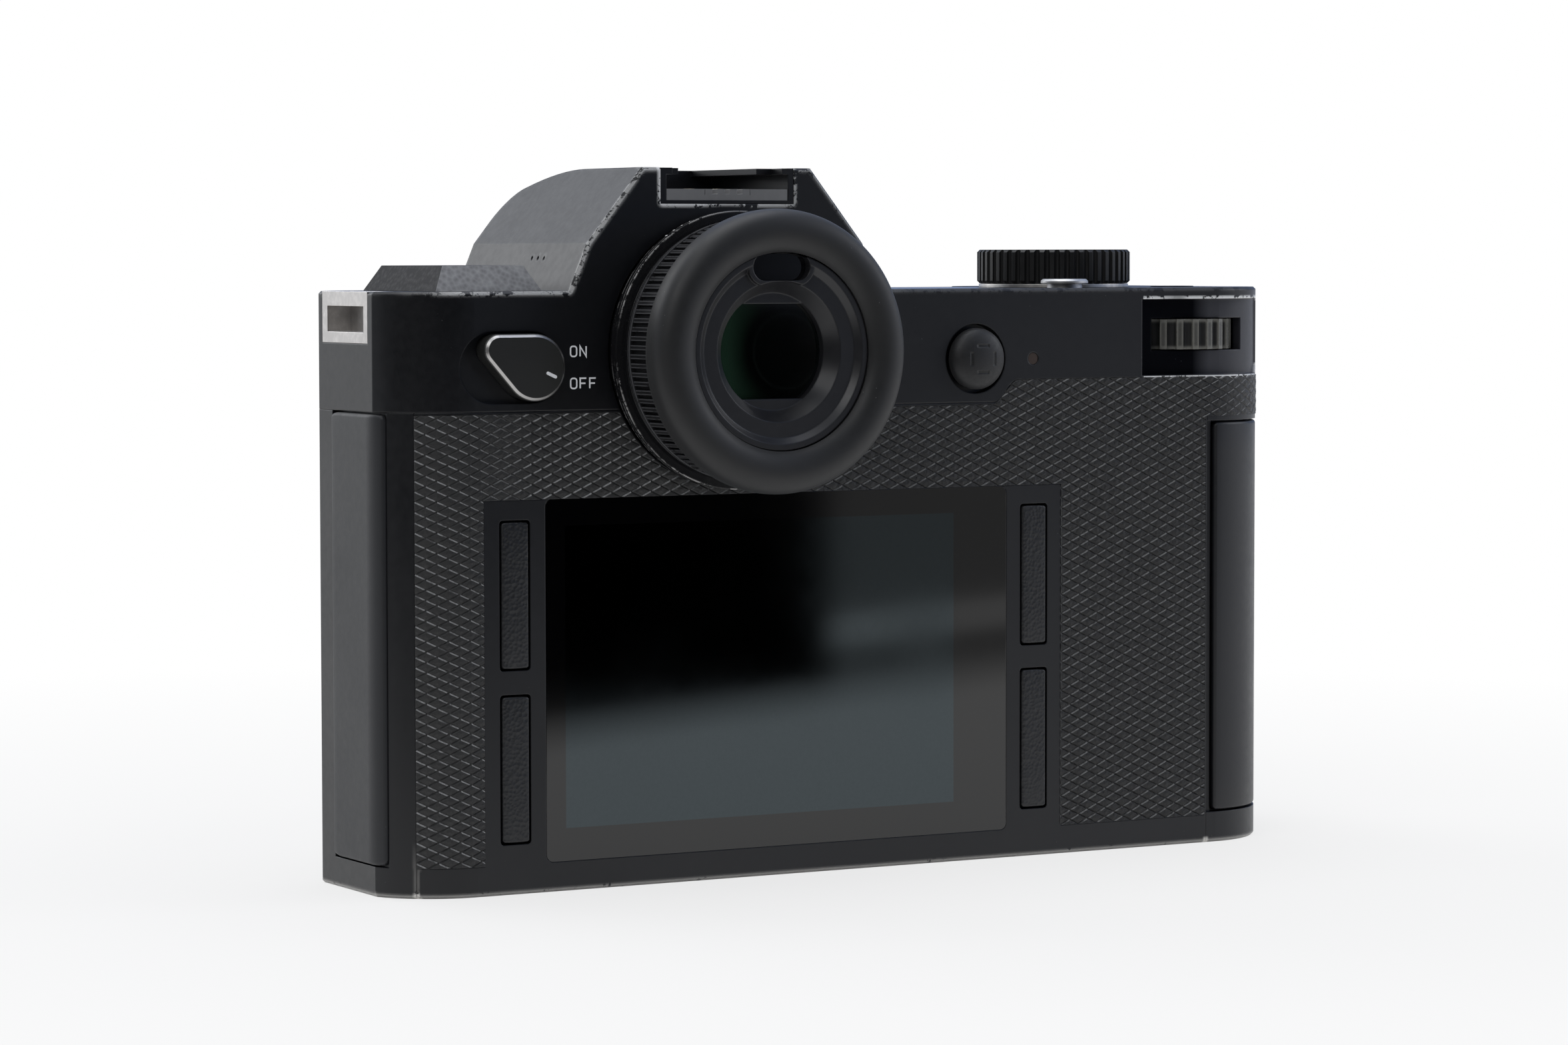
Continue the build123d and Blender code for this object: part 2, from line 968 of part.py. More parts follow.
# Top cover with the hump, the shoe, the switch and the wells
with BuildPart() as hump_hollow:
    with BuildSketch(facing_back(boss_front - wall)):
        draw_hump(wall)
    extrude(amount=boss_front - back_y - 2 * wall)
    slab(
        body_left,
        body_right,
        back_y,
        boss_front,
        seam_z - seam,
        shoe_z - shoe_under,
        mode=Mode.INTERSECT,
    )

with BuildPart() as thumb_wall:
    plan_block(wall / 2, thumb_low_z - wall, ceiling_z + seam)
    slab(
        thumb_left - wall,
        body_right,
        back_y,
        backing_y + wall,
        seam_z,
        body_height,
        mode=Mode.INTERSECT,
    )
    slab(
        body_left,
        body_right - wall - thumb_backing,
        backing_y,
        front_y,
        seam_z,
        body_height,
        mode=Mode.SUBTRACT,
    )

with BuildPart() as thumb_recess_cut:
    plan_block(outer_cut, thumb_low_z, thumb_top_z)
    slab(
        body_left - overrun,
        thumb_turn_x,
        thumb_floor_y,
        grip_front + overrun,
        thumb_low_z,
        thumb_top_z,
        mode=Mode.SUBTRACT,
    )
    pin_z(
        thumb_turn_x,
        thumb_floor_y + thumb_turn_radius,
        thumb_turn_radius,
        thumb_low_z,
        thumb_top_z,
        mode=Mode.SUBTRACT,
    )
    slab(
        thumb_left,
        body_right + overrun,
        back_y - overrun,
        lug_back - wall,
        thumb_low_z,
        thumb_top_z,
        mode=Mode.INTERSECT,
    )
    low_rim = thumb_recess_cut.edges().filter_by(Axis.X).group_by(Axis.Z)[0]
    chamfer(low_rim.sort_by(Axis.Y)[-1], length=thumb_lip_rise)

with BuildPart() as top_cover:
    add(outer_form.part)
    split(bisect_by=Plane.XY.offset(seam_z), keep=Keep.TOP)
    plan_block(wall, seam_z - overrun, ceiling_z, mode=Mode.SUBTRACT)
    add(hump_hollow.part, mode=Mode.SUBTRACT)
    add(thumb_wall.part)
    add(thumb_recess_cut.part, mode=Mode.SUBTRACT)
    slab(
        wheel_x - wheel_slot_width / 2,
        wheel_x + wheel_slot_width / 2,
        back_y - overrun,
        backing_y + wall,
        wheel_z - wheel_height / 2 - slack / 2,
        wheel_z + wheel_height / 2 + slack / 2,
        mode=Mode.SUBTRACT,
    )
    pin_z(
        wheel_x,
        wheel_y,
        wheel_radius + slack,
        wheel_z - wheel_height / 2 - slack / 2,
        wheel_z + wheel_height / 2 + slack / 2,
        mode=Mode.SUBTRACT,
    )
    slab(
        wheel_x - carriage_half_width - slack,
        wheel_x + carriage_half_width + slack,
        backing_y,
        wheel_y + wheel_radius,
        thumb_low_z - wall - slack,
        ceiling_z,
        mode=Mode.SUBTRACT,
    )
    slab(
        -shoe_half,
        shoe_half,
        back_y - overrun,
        shoe_front,
        shoe_z,
        hump_top + overrun,
        mode=Mode.SUBTRACT,
    )
    for x, y, radius in top_holes:
        pin_z(x, y, radius, ceiling_z - overrun / 2, body_height + overrun, mode=Mode.SUBTRACT)
    pin_z(
        shutter_x,
        shutter_y,
        shutter_radius + fit,
        seam_z,
        body_height + overrun,
        mode=Mode.SUBTRACT,
    )
    with BuildSketch(Plane.XY.offset(body_height - top_glass_thickness)):
        with Locations((top_glass_x, top_glass_y)):
            RectangleRounded(
                top_glass_width + 2 * seam, top_glass_depth + 2 * seam, top_glass_radius
            )
    extrude(amount=overrun, mode=Mode.SUBTRACT)
    slab(
        antenna_left + antenna_key_margin - seam,
        antenna_right - antenna_key_margin + seam,
        antenna_y0 + antenna_key_margin - seam,
        antenna_y1 - antenna_key_margin + seam,
        body_height - antenna_key,
        body_height + overrun,
        mode=Mode.SUBTRACT,
    )
    with BuildSketch(facing_back(power_floor_y)):
        with Locations((power_x - power_recess_reach / 2, power_z)):
            SlotCenterToCenter(power_recess_reach, 2 * power_recess_radius)
    extrude(amount=overrun, mode=Mode.SUBTRACT)
    pin_y(power_x, power_z, lever_shaft_radius + fit, back_y, 0, mode=Mode.SUBTRACT)
    pin_y(
        stick_x,
        stick_z,
        stick_well_radius,
        back_y - overrun,
        back_y + stick_well_depth,
        mode=Mode.SUBTRACT,
    )
    pin_y(stick_x, stick_z, stick_hole_radius, back_y, 0, mode=Mode.SUBTRACT)
    pin_y(
        lamp_x, lamp_z, lamp_radius + seam, back_y - overrun, inner_back_y, mode=Mode.SUBTRACT
    )
    for side in (-1, 1):
        for step in range(mic_count):
            y = mic_y + (step - (mic_count - 1) / 2) * mic_pitch
            reach = side * hump_half_widths[1]
            with BuildSketch(Plane.YZ.offset(reach - side * mic_depth)):
                with Locations((y, mic_z)):
                    Circle(mic_radius)
            extrude(amount=side * overrun, mode=Mode.SUBTRACT)
    for lug_x0 in (body_left - overrun, body_right - lug_depth - seam):
        slab(
            lug_x0,
            lug_x0 + lug_depth + seam + overrun,
            lug_back - seam,
            lug_front + seam,
            lug_low_z - seam,
            body_height + overrun,
            mode=Mode.SUBTRACT,
        )
    add(rear_seat.part, mode=Mode.SUBTRACT)
    add(door_seat.part, mode=Mode.SUBTRACT)
save(top_cover, "top_cover")

# Coverings
with BuildPart() as rear_covering:
    rear_sheet(-cover_out, cover_recess)
save(rear_covering, "rear_covering")

with BuildPart() as front_covering:
    front_sheet(-cover_out, cover_recess)
save(front_covering, "front_covering")

# Screen
with BuildPart() as screen_glass:
    with BuildSketch(facing_back(back_y + glass_thickness)):
        with Locations((glass_mid_x, glass_mid_z)):
            RectangleRounded(glass_width, glass_height, glass_radius)
    extrude(amount=glass_thickness)
save(screen_glass, "screen_glass")

with BuildPart() as screen_panel:
    slab(
        glass_left + panel_margin,
        glass_right - panel_margin,
        back_y + glass_thickness,
        back_y + glass_thickness + panel_thickness,
        glass_base + panel_margin,
        glass_top - panel_margin,
    )
save(screen_panel, "screen_panel")

for name, place in bar_places.items():
    with BuildPart() as screen_button:
        with BuildSketch(facing_back(back_y - bar_proud + bar_thickness)):
            with Locations(place):
                RectangleRounded(bar_width, bar_height, bar_radius)
        extrude(amount=bar_thickness)
        face_rim = screen_button.faces().sort_by(Axis.Y)[0].edges()
        chamfer(face_rim, length=bar_proud)
    save(screen_button, name)

# Power switch, resting at OFF
with BuildPart() as power_lever:
    tip = (
        power_x + lever_tip_reach * cos(radians(lever_tip_angle)),
        power_z + lever_tip_reach * sin(radians(lever_tip_angle)),
    )
    with BuildSketch(facing_back(power_floor_y - fit)):
        with Locations((power_x, power_z)):
            Circle(lever_radius)
        with Locations(tip):
            Circle(lever_tip_radius)
        make_hull()
    extrude(amount=lever_height)
    lever_rim = power_lever.faces().sort_by(Axis.Y)[0].edges()
    chamfer(lever_rim, length=lever_bevel)
    pin_y(
        power_x,
        power_z,
        lever_shaft_radius,
        power_floor_y - fit - seam,
        inner_back_y + lever_shaft_length,
    )
    mark_angle = lever_tip_angle + half_turn
    mark_centre = (
        power_x + mark_reach * cos(radians(mark_angle)),
        power_z + mark_reach * sin(radians(mark_angle)),
    )
    with BuildSketch(facing_back(power_floor_y - fit - lever_height + mark_depth)):
        with Locations(Location(mark_centre, mark_angle)):
            SlotOverall(mark_length, mark_width)
    extrude(amount=overrun, mode=Mode.SUBTRACT)
save(power_lever, "power_lever")

# Joystick: a sprung carrier, a gimbal ring and the cap on its stem
with BuildPart() as joystick_carrier:
    pin_y(stick_x, stick_z, carrier_outer, inner_back_y + fit, carrier_front_y)
    pin_y(stick_x, stick_z, gimbal_outer + fit, back_y, 0, mode=Mode.SUBTRACT)
    bore_reach = gimbal_outer + gimbal_pin_length + fit
    pin_x(
        stick_pivot_y,
        stick_z,
        gimbal_pin_radius + fit,
        stick_x - bore_reach,
        stick_x + bore_reach,
        mode=Mode.SUBTRACT,
    )
save(joystick_carrier, "joystick_carrier")

with BuildPart() as joystick_gimbal:
    half = gimbal_width / 2
    pin_y(stick_x, stick_z, gimbal_outer, stick_pivot_y - half, stick_pivot_y + half)
    pin_reach = gimbal_outer + gimbal_pin_length
    pin_x(stick_pivot_y, stick_z, gimbal_pin_radius, stick_x - pin_reach, stick_x + pin_reach)
    bore_reach = stick_ball_radius + gimbal_pin_length + fit
    pin_z(
        stick_x,
        stick_pivot_y,
        gimbal_pin_radius + fit,
        stick_z - bore_reach,
        stick_z + bore_reach,
        mode=Mode.SUBTRACT,
    )
    pin_y(stick_x, stick_z, gimbal_inner, back_y, 0, mode=Mode.SUBTRACT)
save(joystick_gimbal, "joystick_gimbal")

with BuildPart() as joystick_cap:
    rim_y = back_y + stick_cap_lift
    dome_y = rim_y - stick_cap_height
    with BuildSketch(Plane.YZ.offset(stick_x)):
        with BuildLine():
            Polyline(
                (dome_y, stick_z),
                (stick_pivot_y + gimbal_width / 2, stick_z),
                (stick_pivot_y + gimbal_width / 2, stick_z + stick_ball_radius),
                (stick_pivot_y - gimbal_width / 2, stick_z + stick_ball_radius),
                (stick_pivot_y - gimbal_width / 2, stick_z + stick_stem_radius),
                (rim_y, stick_z + stick_stem_radius),
                (rim_y, stick_z + stick_cap_radius),
                (rim_y - stick_rim, stick_z + stick_cap_radius),
            )
            Bezier(
                (rim_y - stick_rim, stick_z + stick_cap_radius),
                (dome_y + stick_rim, stick_z + stick_cap_radius),
                (dome_y, stick_z + stick_crown_radius),
                (dome_y, stick_z),
            )
        make_face()
    revolve(axis=Axis((stick_x, 0, stick_z), (0, 1, 0)))
    pin_reach = stick_ball_radius + gimbal_pin_length
    pin_z(stick_x, stick_pivot_y, gimbal_pin_radius, stick_z - pin_reach, stick_z + pin_reach)
save(joystick_cap, "joystick_cap")

with BuildPart() as status_lamp:
    lamp_back = back_y + lamp_sunk
    pin_y(lamp_x, lamp_z, lamp_radius, lamp_back, lamp_back + lamp_length)
save(status_lamp, "status_lamp")

# Thumb wheel and the carriage that lets it be pressed
with BuildPart() as thumb_wheel:
    with BuildSketch(Plane.XY.offset(wheel_z - wheel_height / 2)):
        with Locations((wheel_x, wheel_y)):
            Circle(wheel_radius)
            with PolarLocations(wheel_radius, wheel_rib_count):
                Circle(wheel_rib_radius, mode=Mode.SUBTRACT)
            Circle(wheel_bore + fit, mode=Mode.SUBTRACT)
    extrude(amount=wheel_height)
save(thumb_wheel, "thumb_wheel")

with BuildPart() as thumb_carriage:
    gap_z = wheel_height / 2 + slack / 2
    rear = backing_y + carriage_travel_room
    front = wheel_y + wheel_radius + carriage_margin
    low_z = wheel_z - gap_z - carriage_sheet
    slab(
        wheel_x - carriage_half_width,
        wheel_x + carriage_half_width,
        rear,
        front + carriage_front,
        low_z,
        ceiling_z - fit,
    )
    slab(
        wheel_x - wheel_radius - fit,
        wheel_x + wheel_radius + fit,
        back_y,
        front,
        wheel_z - gap_z,
        wheel_z + gap_z,
        mode=Mode.SUBTRACT,
    )
    pin_z(wheel_x, wheel_y, wheel_bore, low_z, ceiling_z - fit)
save(thumb_carriage, "thumb_carriage")

# Top dial on its base ring
with BuildPart() as top_dial_ring:
    pin_z(dial_x, dial_y, dial_ring_radius, body_height, body_height + dial_ring_height)
    pin_z(
        dial_x,
        dial_y,
        dial_shaft_radius + fit,
        body_height,
        body_height + overrun,
        mode=Mode.SUBTRACT,
    )
save(top_dial_ring, "top_dial_ring")

dial_low_z = body_height + dial_ring_height + seam
with BuildPart() as dial_blank:
    pin_z(dial_x, dial_y, dial_radius, dial_low_z, dial_low_z + dial_height)
    chamfer(dial_blank.edges(), length=dial_bevel)

with BuildPart() as top_dial:
    with BuildSketch(Plane.XY.offset(dial_low_z)):
        with Locations((dial_x, dial_y)):
            Circle(dial_radius)
            with PolarLocations(dial_radius, dial_rib_count):
                Circle(dial_rib_radius, mode=Mode.SUBTRACT)
    extrude(amount=dial_height)
    add(dial_blank.part, mode=Mode.INTERSECT)
    pin_z(dial_x, dial_y, dial_shaft_radius, body_height - dial_shaft_length, dial_low_z + seam)
save(top_dial, "top_dial")

# Shutter button in its collar on the grip
with BuildPart() as shutter_collar:
    pin_z(
        shutter_x,
        shutter_y,
        shutter_collar_radius,
        body_height,
        body_height + shutter_collar_height,
    )
    chamfer(shutter_collar.edges().sort_by(Axis.Z)[-1], length=shutter_collar_height / 2)
    pin_z(
        shutter_x, shutter_y, shutter_radius + fit, 0, body_height + overrun, mode=Mode.SUBTRACT
    )
save(shutter_collar, "shutter_collar")

with BuildPart() as shutter_button:
    shutter_top = body_height + shutter_height
    pin_z(shutter_x, shutter_y, shutter_radius, shutter_top - shutter_length, shutter_top)
    chamfer(shutter_button.edges().sort_by(Axis.Z)[-1], length=shutter_collar_height / 2)
    with Locations((shutter_x, shutter_y, shutter_top + shutter_dish_radius - shutter_dish_depth)):
        Sphere(shutter_dish_radius, mode=Mode.SUBTRACT)
save(shutter_button, "shutter_button")

# Top plate buttons
with BuildPart() as menu_button:
    menu_low_z = body_height + menu_height / 2
    pin_z(menu_x, menu_y, menu_radius, menu_low_z, body_height + menu_height)
    chamfer(menu_button.edges().sort_by(Axis.Z)[-1], length=menu_bevel)
    pin_z(menu_x, menu_y, menu_collar, menu_low_z - menu_length, menu_low_z)
save(menu_button, "menu_button")

with BuildPart() as play_button:
    play_top = body_height + play_height
    pin_z(play_x, play_y, play_radius, play_top - play_length, play_top)
save(play_button, "play_button")

with BuildPart() as top_display:
    with BuildSketch(Plane.XY.offset(body_height - top_glass_thickness)):
        with Locations((top_glass_x, top_glass_y)):
            RectangleRounded(top_glass_width, top_glass_depth, top_glass_radius)
    extrude(amount=top_glass_thickness)
save(top_display, "top_display")

# Radio cover
with BuildPart() as antenna_cover:
    antenna_mid = ((antenna_left + antenna_right) / 2, (antenna_y0 + antenna_y1) / 2)
    antenna_width = antenna_right - antenna_left
    antenna_length = antenna_y1 - antenna_y0
    with BuildSketch(Plane.XY.offset(body_height)):
        with Locations(antenna_mid):
            Rectangle(antenna_width, antenna_length)
    extrude(amount=antenna_height, taper=antenna_slope)
    slab(
        antenna_left + antenna_key_margin,
        antenna_right - antenna_key_margin,
        antenna_y0 + antenna_key_margin,
        antenna_y1 - antenna_key_margin,
        body_height - antenna_key + seam,
        body_height,
    )
save(antenna_cover, "antenna_cover")

# Hot shoe: sheet rail, insulating insert and contacts
with BuildPart() as hot_shoe_rail:
    rail_front = shoe_front - seam
    slab(
        -shoe_half + seam,
        shoe_half - seam,
        back_y + seam,
        rail_front,
        shoe_z + seam,
        hump_top - seam,
    )
    slab(
        -rail_inner,
        rail_inner,
        back_y - overrun,
        rail_front - rail_sheet,
        shoe_z + rail_base,
        rail_under_z,
        mode=Mode.SUBTRACT,
    )
    slab(
        -rail_lip_gap / 2,
        rail_lip_gap / 2,
        back_y - overrun,
        rail_front - rail_sheet,
        rail_under_z - seam,
        hump_top + overrun,
        mode=Mode.SUBTRACT,
    )
    slab(
        -rail_mouth_gap / 2,
        rail_mouth_gap / 2,
        back_y - overrun,
        back_y + rail_mouth_length,
        rail_under_z - seam,
        hump_top + overrun,
        mode=Mode.SUBTRACT,
    )
save(hot_shoe_rail, "hot_shoe_rail")

shoe_mid_y = (back_y + shoe_front) / 2
shoe_contacts = [(0, shoe_mid_y, contact_radius)]
for along in (1, -1):
    for across in (-1, 1):
        place_y = shoe_mid_y + along * contact_spread
        shoe_contacts.append((across * contact_spread / 2, place_y, small_contact_radius))

with BuildPart() as hot_shoe_insert:
    slab(
        -rail_inner + seam,
        rail_inner - seam,
        back_y + 2 * seam,
        rail_front - rail_sheet - seam,
        shoe_z + rail_base,
        shoe_floor_z,
    )
    for x, y, radius in shoe_contacts:
        pin_z(x, y, radius + seam, shoe_floor_z - contact_depth, hump_top, mode=Mode.SUBTRACT)
    for side in (-1, 1):
        slab(
            side * shoe_insert_width / 2 - seam,
            side * shoe_insert_width / 2 + seam,
            back_y - overrun,
            back_y + shoe_insert_split,
            shoe_floor_z - contact_depth,
            hump_top,
            mode=Mode.SUBTRACT,
        )
    for step in range(shoe_rib_count):
        rib_x = (step - (shoe_rib_count - 1) / 2) * shoe_rib_pitch
        slab(
            rib_x - shoe_rib_width / 2,
            rib_x + shoe_rib_width / 2,
            back_y - overrun,
            back_y + rail_mouth_length,
            shoe_floor_z - shoe_rib_height,
            hump_top,
            mode=Mode.SUBTRACT,
        )
save(hot_shoe_insert, "hot_shoe_insert")

with BuildPart() as hot_shoe_contacts:
    for x, y, radius in shoe_contacts:
        pin_z(x, y, radius, shoe_floor_z - contact_depth, shoe_floor_z + contact_proud)
save(hot_shoe_contacts, "hot_shoe_contacts")

# Eyepiece
with BuildPart() as eyepiece_drum:
    turn(
        (
            (inner_back_y, drum_bore),
            (inner_back_y, drum_neck_radius),
            (drum_back, drum_neck_radius),
            (drum_back, drum_radius),
            (drum_back - drum_tick_band, drum_radius),
            (drum_back - drum_tick_band, bead_radius),
            (bead_back, bead_radius),
            (bead_back, groove_radius),
            (groove_back, groove_radius),
            (groove_back, tube_radius),
            (tube_back, tube_radius),
            (tube_back, drum_bore),
        ),
        eye_z,
    )
save(eyepiece_drum, "eyepiece_drum")

with BuildPart() as diopter_ring:
    with BuildSketch(facing_back(diopter_front)):
        with Locations((0, eye_z)):
            Circle(diopter_radius)
            with PolarLocations(diopter_radius, diopter_tooth_count):
                Rectangle(
                    2 * diopter_tooth_depth,
                    pi * diopter_radius / diopter_tooth_count,
                    mode=Mode.SUBTRACT,
                )
    extrude(amount=diopter_width)
    pin_y(0, eye_z, diopter_lip_radius, diopter_front - diopter_lip_width, diopter_front)
    pin_y(
        0, eye_z, tube_radius + ring_bore_gap, diopter_back - seam, back_y, mode=Mode.SUBTRACT
    )
save(diopter_ring, "diopter_ring")

with BuildPart() as eyecup:
    with BuildSketch(Plane.YZ):
        with BuildLine():
            Polyline(
                (cup_edge_y, eye_z + cup_opening),
                (bezel_front, eye_z + cup_seat_radius),
                (tube_back - slack, eye_z + cup_seat_radius),
                (tube_back - slack, eye_z + tube_radius + slack),
                (cup_front, eye_z + tube_radius + slack),
                (cup_front, eye_z + cup_heel_radius),
            )
            Bezier(
                (cup_front, eye_z + cup_heel_radius),
                (cup_front - cup_heel_run, eye_z + cup_radius),
                (cup_front - cup_swell_run, eye_z + cup_radius),
                (cup_front - cup_length / 2, eye_z + cup_radius),
            )
            Bezier(
                (cup_front - cup_length / 2, eye_z + cup_radius),
                (cup_back, eye_z + cup_radius),
                (cup_back, eye_z + cup_seat_radius),
                (cup_edge_y, eye_z + cup_opening),
            )
        make_face()
    revolve(axis=Axis((0, 0, eye_z), (0, 1, 0)))
save(eyecup, "eyecup")

with BuildPart() as eyepiece_bezel:
    bead_y = cup_edge_y + slack
    mask_y = plate_y + window_depth
    turn(
        (
            (bead_y, bezel_bead_radius),
            (bead_y, bezel_bead_radius + bezel_bead_width),
            (bead_y + bezel_bead_width, bezel_bead_radius + bezel_bead_width),
            (bezel_front, drum_bore - seam),
            (tube_back + wall, drum_bore - seam),
            (tube_back + wall, window_seat_radius),
            (mask_y, window_seat_radius),
            (plate_y, window_radius),
            (plate_y, bezel_plate_radius),
        ),
        eye_z,
    )
    with BuildSketch(facing_back(plate_y + eye_sensor_glass)):
        with Locations((0, eye_z + eye_sensor_up)):
            SlotOverall(eye_sensor_width, eye_sensor_height)
    extrude(amount=overrun, mode=Mode.SUBTRACT)
    with BuildSketch(facing_back(bead_y + seam)):
        with Locations((0, eye_z + eye_sensor_up)):
            SlotOverall(
                eye_sensor_width + 2 * eye_sensor_rim, eye_sensor_height + 2 * eye_sensor_rim
            )
            SlotOverall(eye_sensor_width, eye_sensor_height, mode=Mode.SUBTRACT)
        with Locations((0, eye_z)):
            Circle(window_radius, mode=Mode.SUBTRACT)
            Circle(bezel_bead_radius + bezel_bead_width, mode=Mode.INTERSECT)
    extrude(amount=-(plate_y + eye_sensor_glass - bead_y))
    with BuildSketch(facing_back(mask_y)):
        with Locations((0, eye_z)):
            Circle(window_seat_radius + seam)
            Rectangle(2 * drum_radius, window_height, mode=Mode.SUBTRACT)
    extrude(amount=-eye_sensor_glass)
save(eyepiece_bezel, "eyepiece_bezel")

with BuildPart() as eye_sensor_window:
    with BuildSketch(facing_back(plate_y + eye_sensor_glass)):
        with Locations((0, eye_z + eye_sensor_up)):
            SlotOverall(eye_sensor_width - 2 * seam, eye_sensor_height - 2 * seam)
        with Locations((0, eye_z)):
            Circle(window_radius, mode=Mode.SUBTRACT)
    extrude(amount=eye_sensor_glass / 2)
save(eye_sensor_window, "eye_sensor_window")

with BuildPart() as eyepiece_lens:
    lens_front = mask_y + eye_sensor_glass
    pin_y(0, eye_z, window_seat_radius - seam, lens_front, lens_front + lens_thickness)
save(eyepiece_lens, "eyepiece_lens")

with BuildPart() as finder_tube:
    finder_start = inner_back_y + seam
    pin_y(0, eye_z, finder_flange_radius, finder_start, finder_start + finder_flange)
    pin_y(0, eye_z, finder_radius, finder_start, finder_end)
    pin_y(
        0,
        eye_z,
        finder_radius - finder_wall,
        finder_start - seam,
        finder_end - finder_wall,
        mode=Mode.SUBTRACT,
    )
save(finder_tube, "finder_tube")

# Strap lugs, slotted from the side and from above
for name, side, edge in (
    ("strap_lug_left", 1, body_left),
    ("strap_lug_right", -1, body_right),
):
    with BuildPart() as strap_lug:
        spans = (
            (0, lug_depth, lug_back, lug_front, lug_low_z, body_height, Mode.ADD),
            (
                -overrun,
                lug_bar + lug_mouth,
                lug_slot_back,
                lug_slot_front,
                lug_low_z + lug_slot_low,
                lug_low_z + lug_slot_low + lug_slot_height,
                Mode.SUBTRACT,
            ),
            (
                lug_bar,
                lug_bar + lug_mouth,
                lug_slot_back,
                lug_slot_front,
                lug_low_z + lug_slot_low,
                body_height + overrun,
                Mode.SUBTRACT,
            ),
        )
        for near, far, y0, y1, z0, z1, mode in spans:
            ends = sorted((edge + side * near, edge + side * far))
            slab(*ends, y0, y1, z0, z1, mode=mode)
    save(strap_lug, name)

# Terminal cover, hinged on its round front edge, and the sockets behind it
with BuildPart() as terminal_cover:
    flap_layer(-flap_proud, flap_sheet - flap_proud, flap_gap)
    slab(
        body_left - overrun,
        body_left + overrun,
        flap_hinge_y,
        front_y,
        0,
        body_height,
        mode=Mode.SUBTRACT,
    )
    pin_z(
        flap_hinge_x,
        flap_hinge_y,
        flap_hinge_radius,
        flap_low_z + flap_gap,
        flap_top_z - flap_gap,
    )
save(terminal_cover, "terminal_cover")

port_face_x = body_left + flap_floor + slack
for name, z, height, width, mouth_height, mouth_width in (
    ("hdmi_port", hdmi_z, hdmi_height, hdmi_width, hdmi_mouth_height, hdmi_mouth_width),
    ("usb_port", usb_z, usb_height, usb_width, usb_mouth_height, usb_mouth_width),
):
    with BuildPart() as port:
        tongue = port_tongue_share * mouth_height / 2
        mouth_x = port_face_x + port_mouth_depth
        slab(
            port_face_x,
            port_face_x + port_depth,
            port_y - width / 2,
            port_y + width / 2,
            z - height / 2,
            z + height / 2,
        )
        slab(
            port_face_x - overrun,
            mouth_x,
            port_y - mouth_width / 2,
            port_y + mouth_width / 2,
            z - mouth_height / 2,
            z + mouth_height / 2,
            mode=Mode.SUBTRACT,
        )
        slab(
            port_face_x + port_tongue_sheet,
            mouth_x + seam,
            port_y - port_tongue_sheet / 2,
            port_y + port_tongue_sheet / 2,
            z - tongue,
            z + tongue,
        )
    save(port, name)

with BuildPart() as audio_jacks:
    with BuildSketch(Plane.YZ.offset(port_face_x)):
        with Locations((port_y, mic_jack_z), (port_y, phone_jack_z)):
            Circle(jack_radius)
            Circle(jack_bore, mode=Mode.SUBTRACT)
    extrude(amount=port_depth)
save(audio_jacks, "audio_jacks")

# Card door: it slides back on its slider, then swings open on its round left edge
with BuildPart() as card_door:
    door_layer(0, door_sheet, door_gap)
    slab(
        door_left,
        door_hinge_x,
        back_y - overrun,
        inner_back_y,
        0,
        body_height,
        mode=Mode.SUBTRACT,
    )
    pin_z(
        door_hinge_x,
        door_hinge_y,
        door_hinge_radius,
        door_low_z + door_gap,
        door_high_z - door_gap,
    )
save(card_door, "card_door")

with BuildPart() as card_door_slider:
    slider_y = back_y + door_sheet + slider_sag + fit
    slab(
        door_left + door_gap + fit,
        door_left + door_gap + slider_width - fit,
        slider_y,
        slider_y + slider_sheet,
        door_low_z + slider_margin + fit,
        door_high_z - slider_margin - fit,
    )
save(card_door_slider, "card_door_slider")

with BuildPart() as card_bay:
    slab(
        card_bay_left,
        card_bay_right,
        card_bay_back,
        card_bay_front,
        card_bay_low,
        card_bay_high,
    )
    bay_mid_y = (card_bay_back + card_bay_front) / 2
    bay_mid_z = (card_bay_low + card_bay_high) / 2
    for side in (-1, 1):
        slot_z = bay_mid_z + side * (card_width + card_gap) / 2
        slab(
            card_bay_right - card_slot_depth,
            card_bay_right + overrun,
            bay_mid_y - card_thickness / 2,
            bay_mid_y + card_thickness / 2,
            slot_z - card_width / 2,
            slot_z + card_width / 2,
            mode=Mode.SUBTRACT,
        )
save(card_bay, "card_bay")

# Battery, whose foot closes the floor, and its latch
with BuildPart() as battery:
    with BuildSketch(Plane.XY.offset(battery_sunk)):
        with Locations((battery_x, battery_y)):
            RectangleRounded(battery_width, battery_depth, battery_radius)
    extrude(amount=battery_height)
save(battery, "battery")

with BuildPart() as battery_latch:
    slab(
        latch_x - latch_width / 2,
        latch_x + latch_width / 2,
        latch_y - latch_depth / 2,
        latch_y + latch_depth / 2,
        latch_floor - latch_sheet - fit,
        latch_floor - fit,
    )
    for step in range(latch_grip_count):
        groove_x = latch_x + (step - (latch_grip_count - 1) / 2) * latch_grip_pitch
        slab(
            groove_x - latch_grip_width / 2,
            groove_x + latch_grip_width / 2,
            latch_y - latch_depth,
            latch_y + latch_depth,
            0,
            latch_floor - latch_sheet - fit + latch_grip_depth,
            mode=Mode.SUBTRACT,
        )
save(battery_latch, "battery_latch")

# Tripod bush
with BuildPart() as tripod_bush:
    pin_z(0, 0, bush_radius, 0, bush_height)
    pin_z(0, 0, socket_radius, 0, socket_depth, mode=Mode.SUBTRACT)
save(tripod_bush, "tripod_bush")

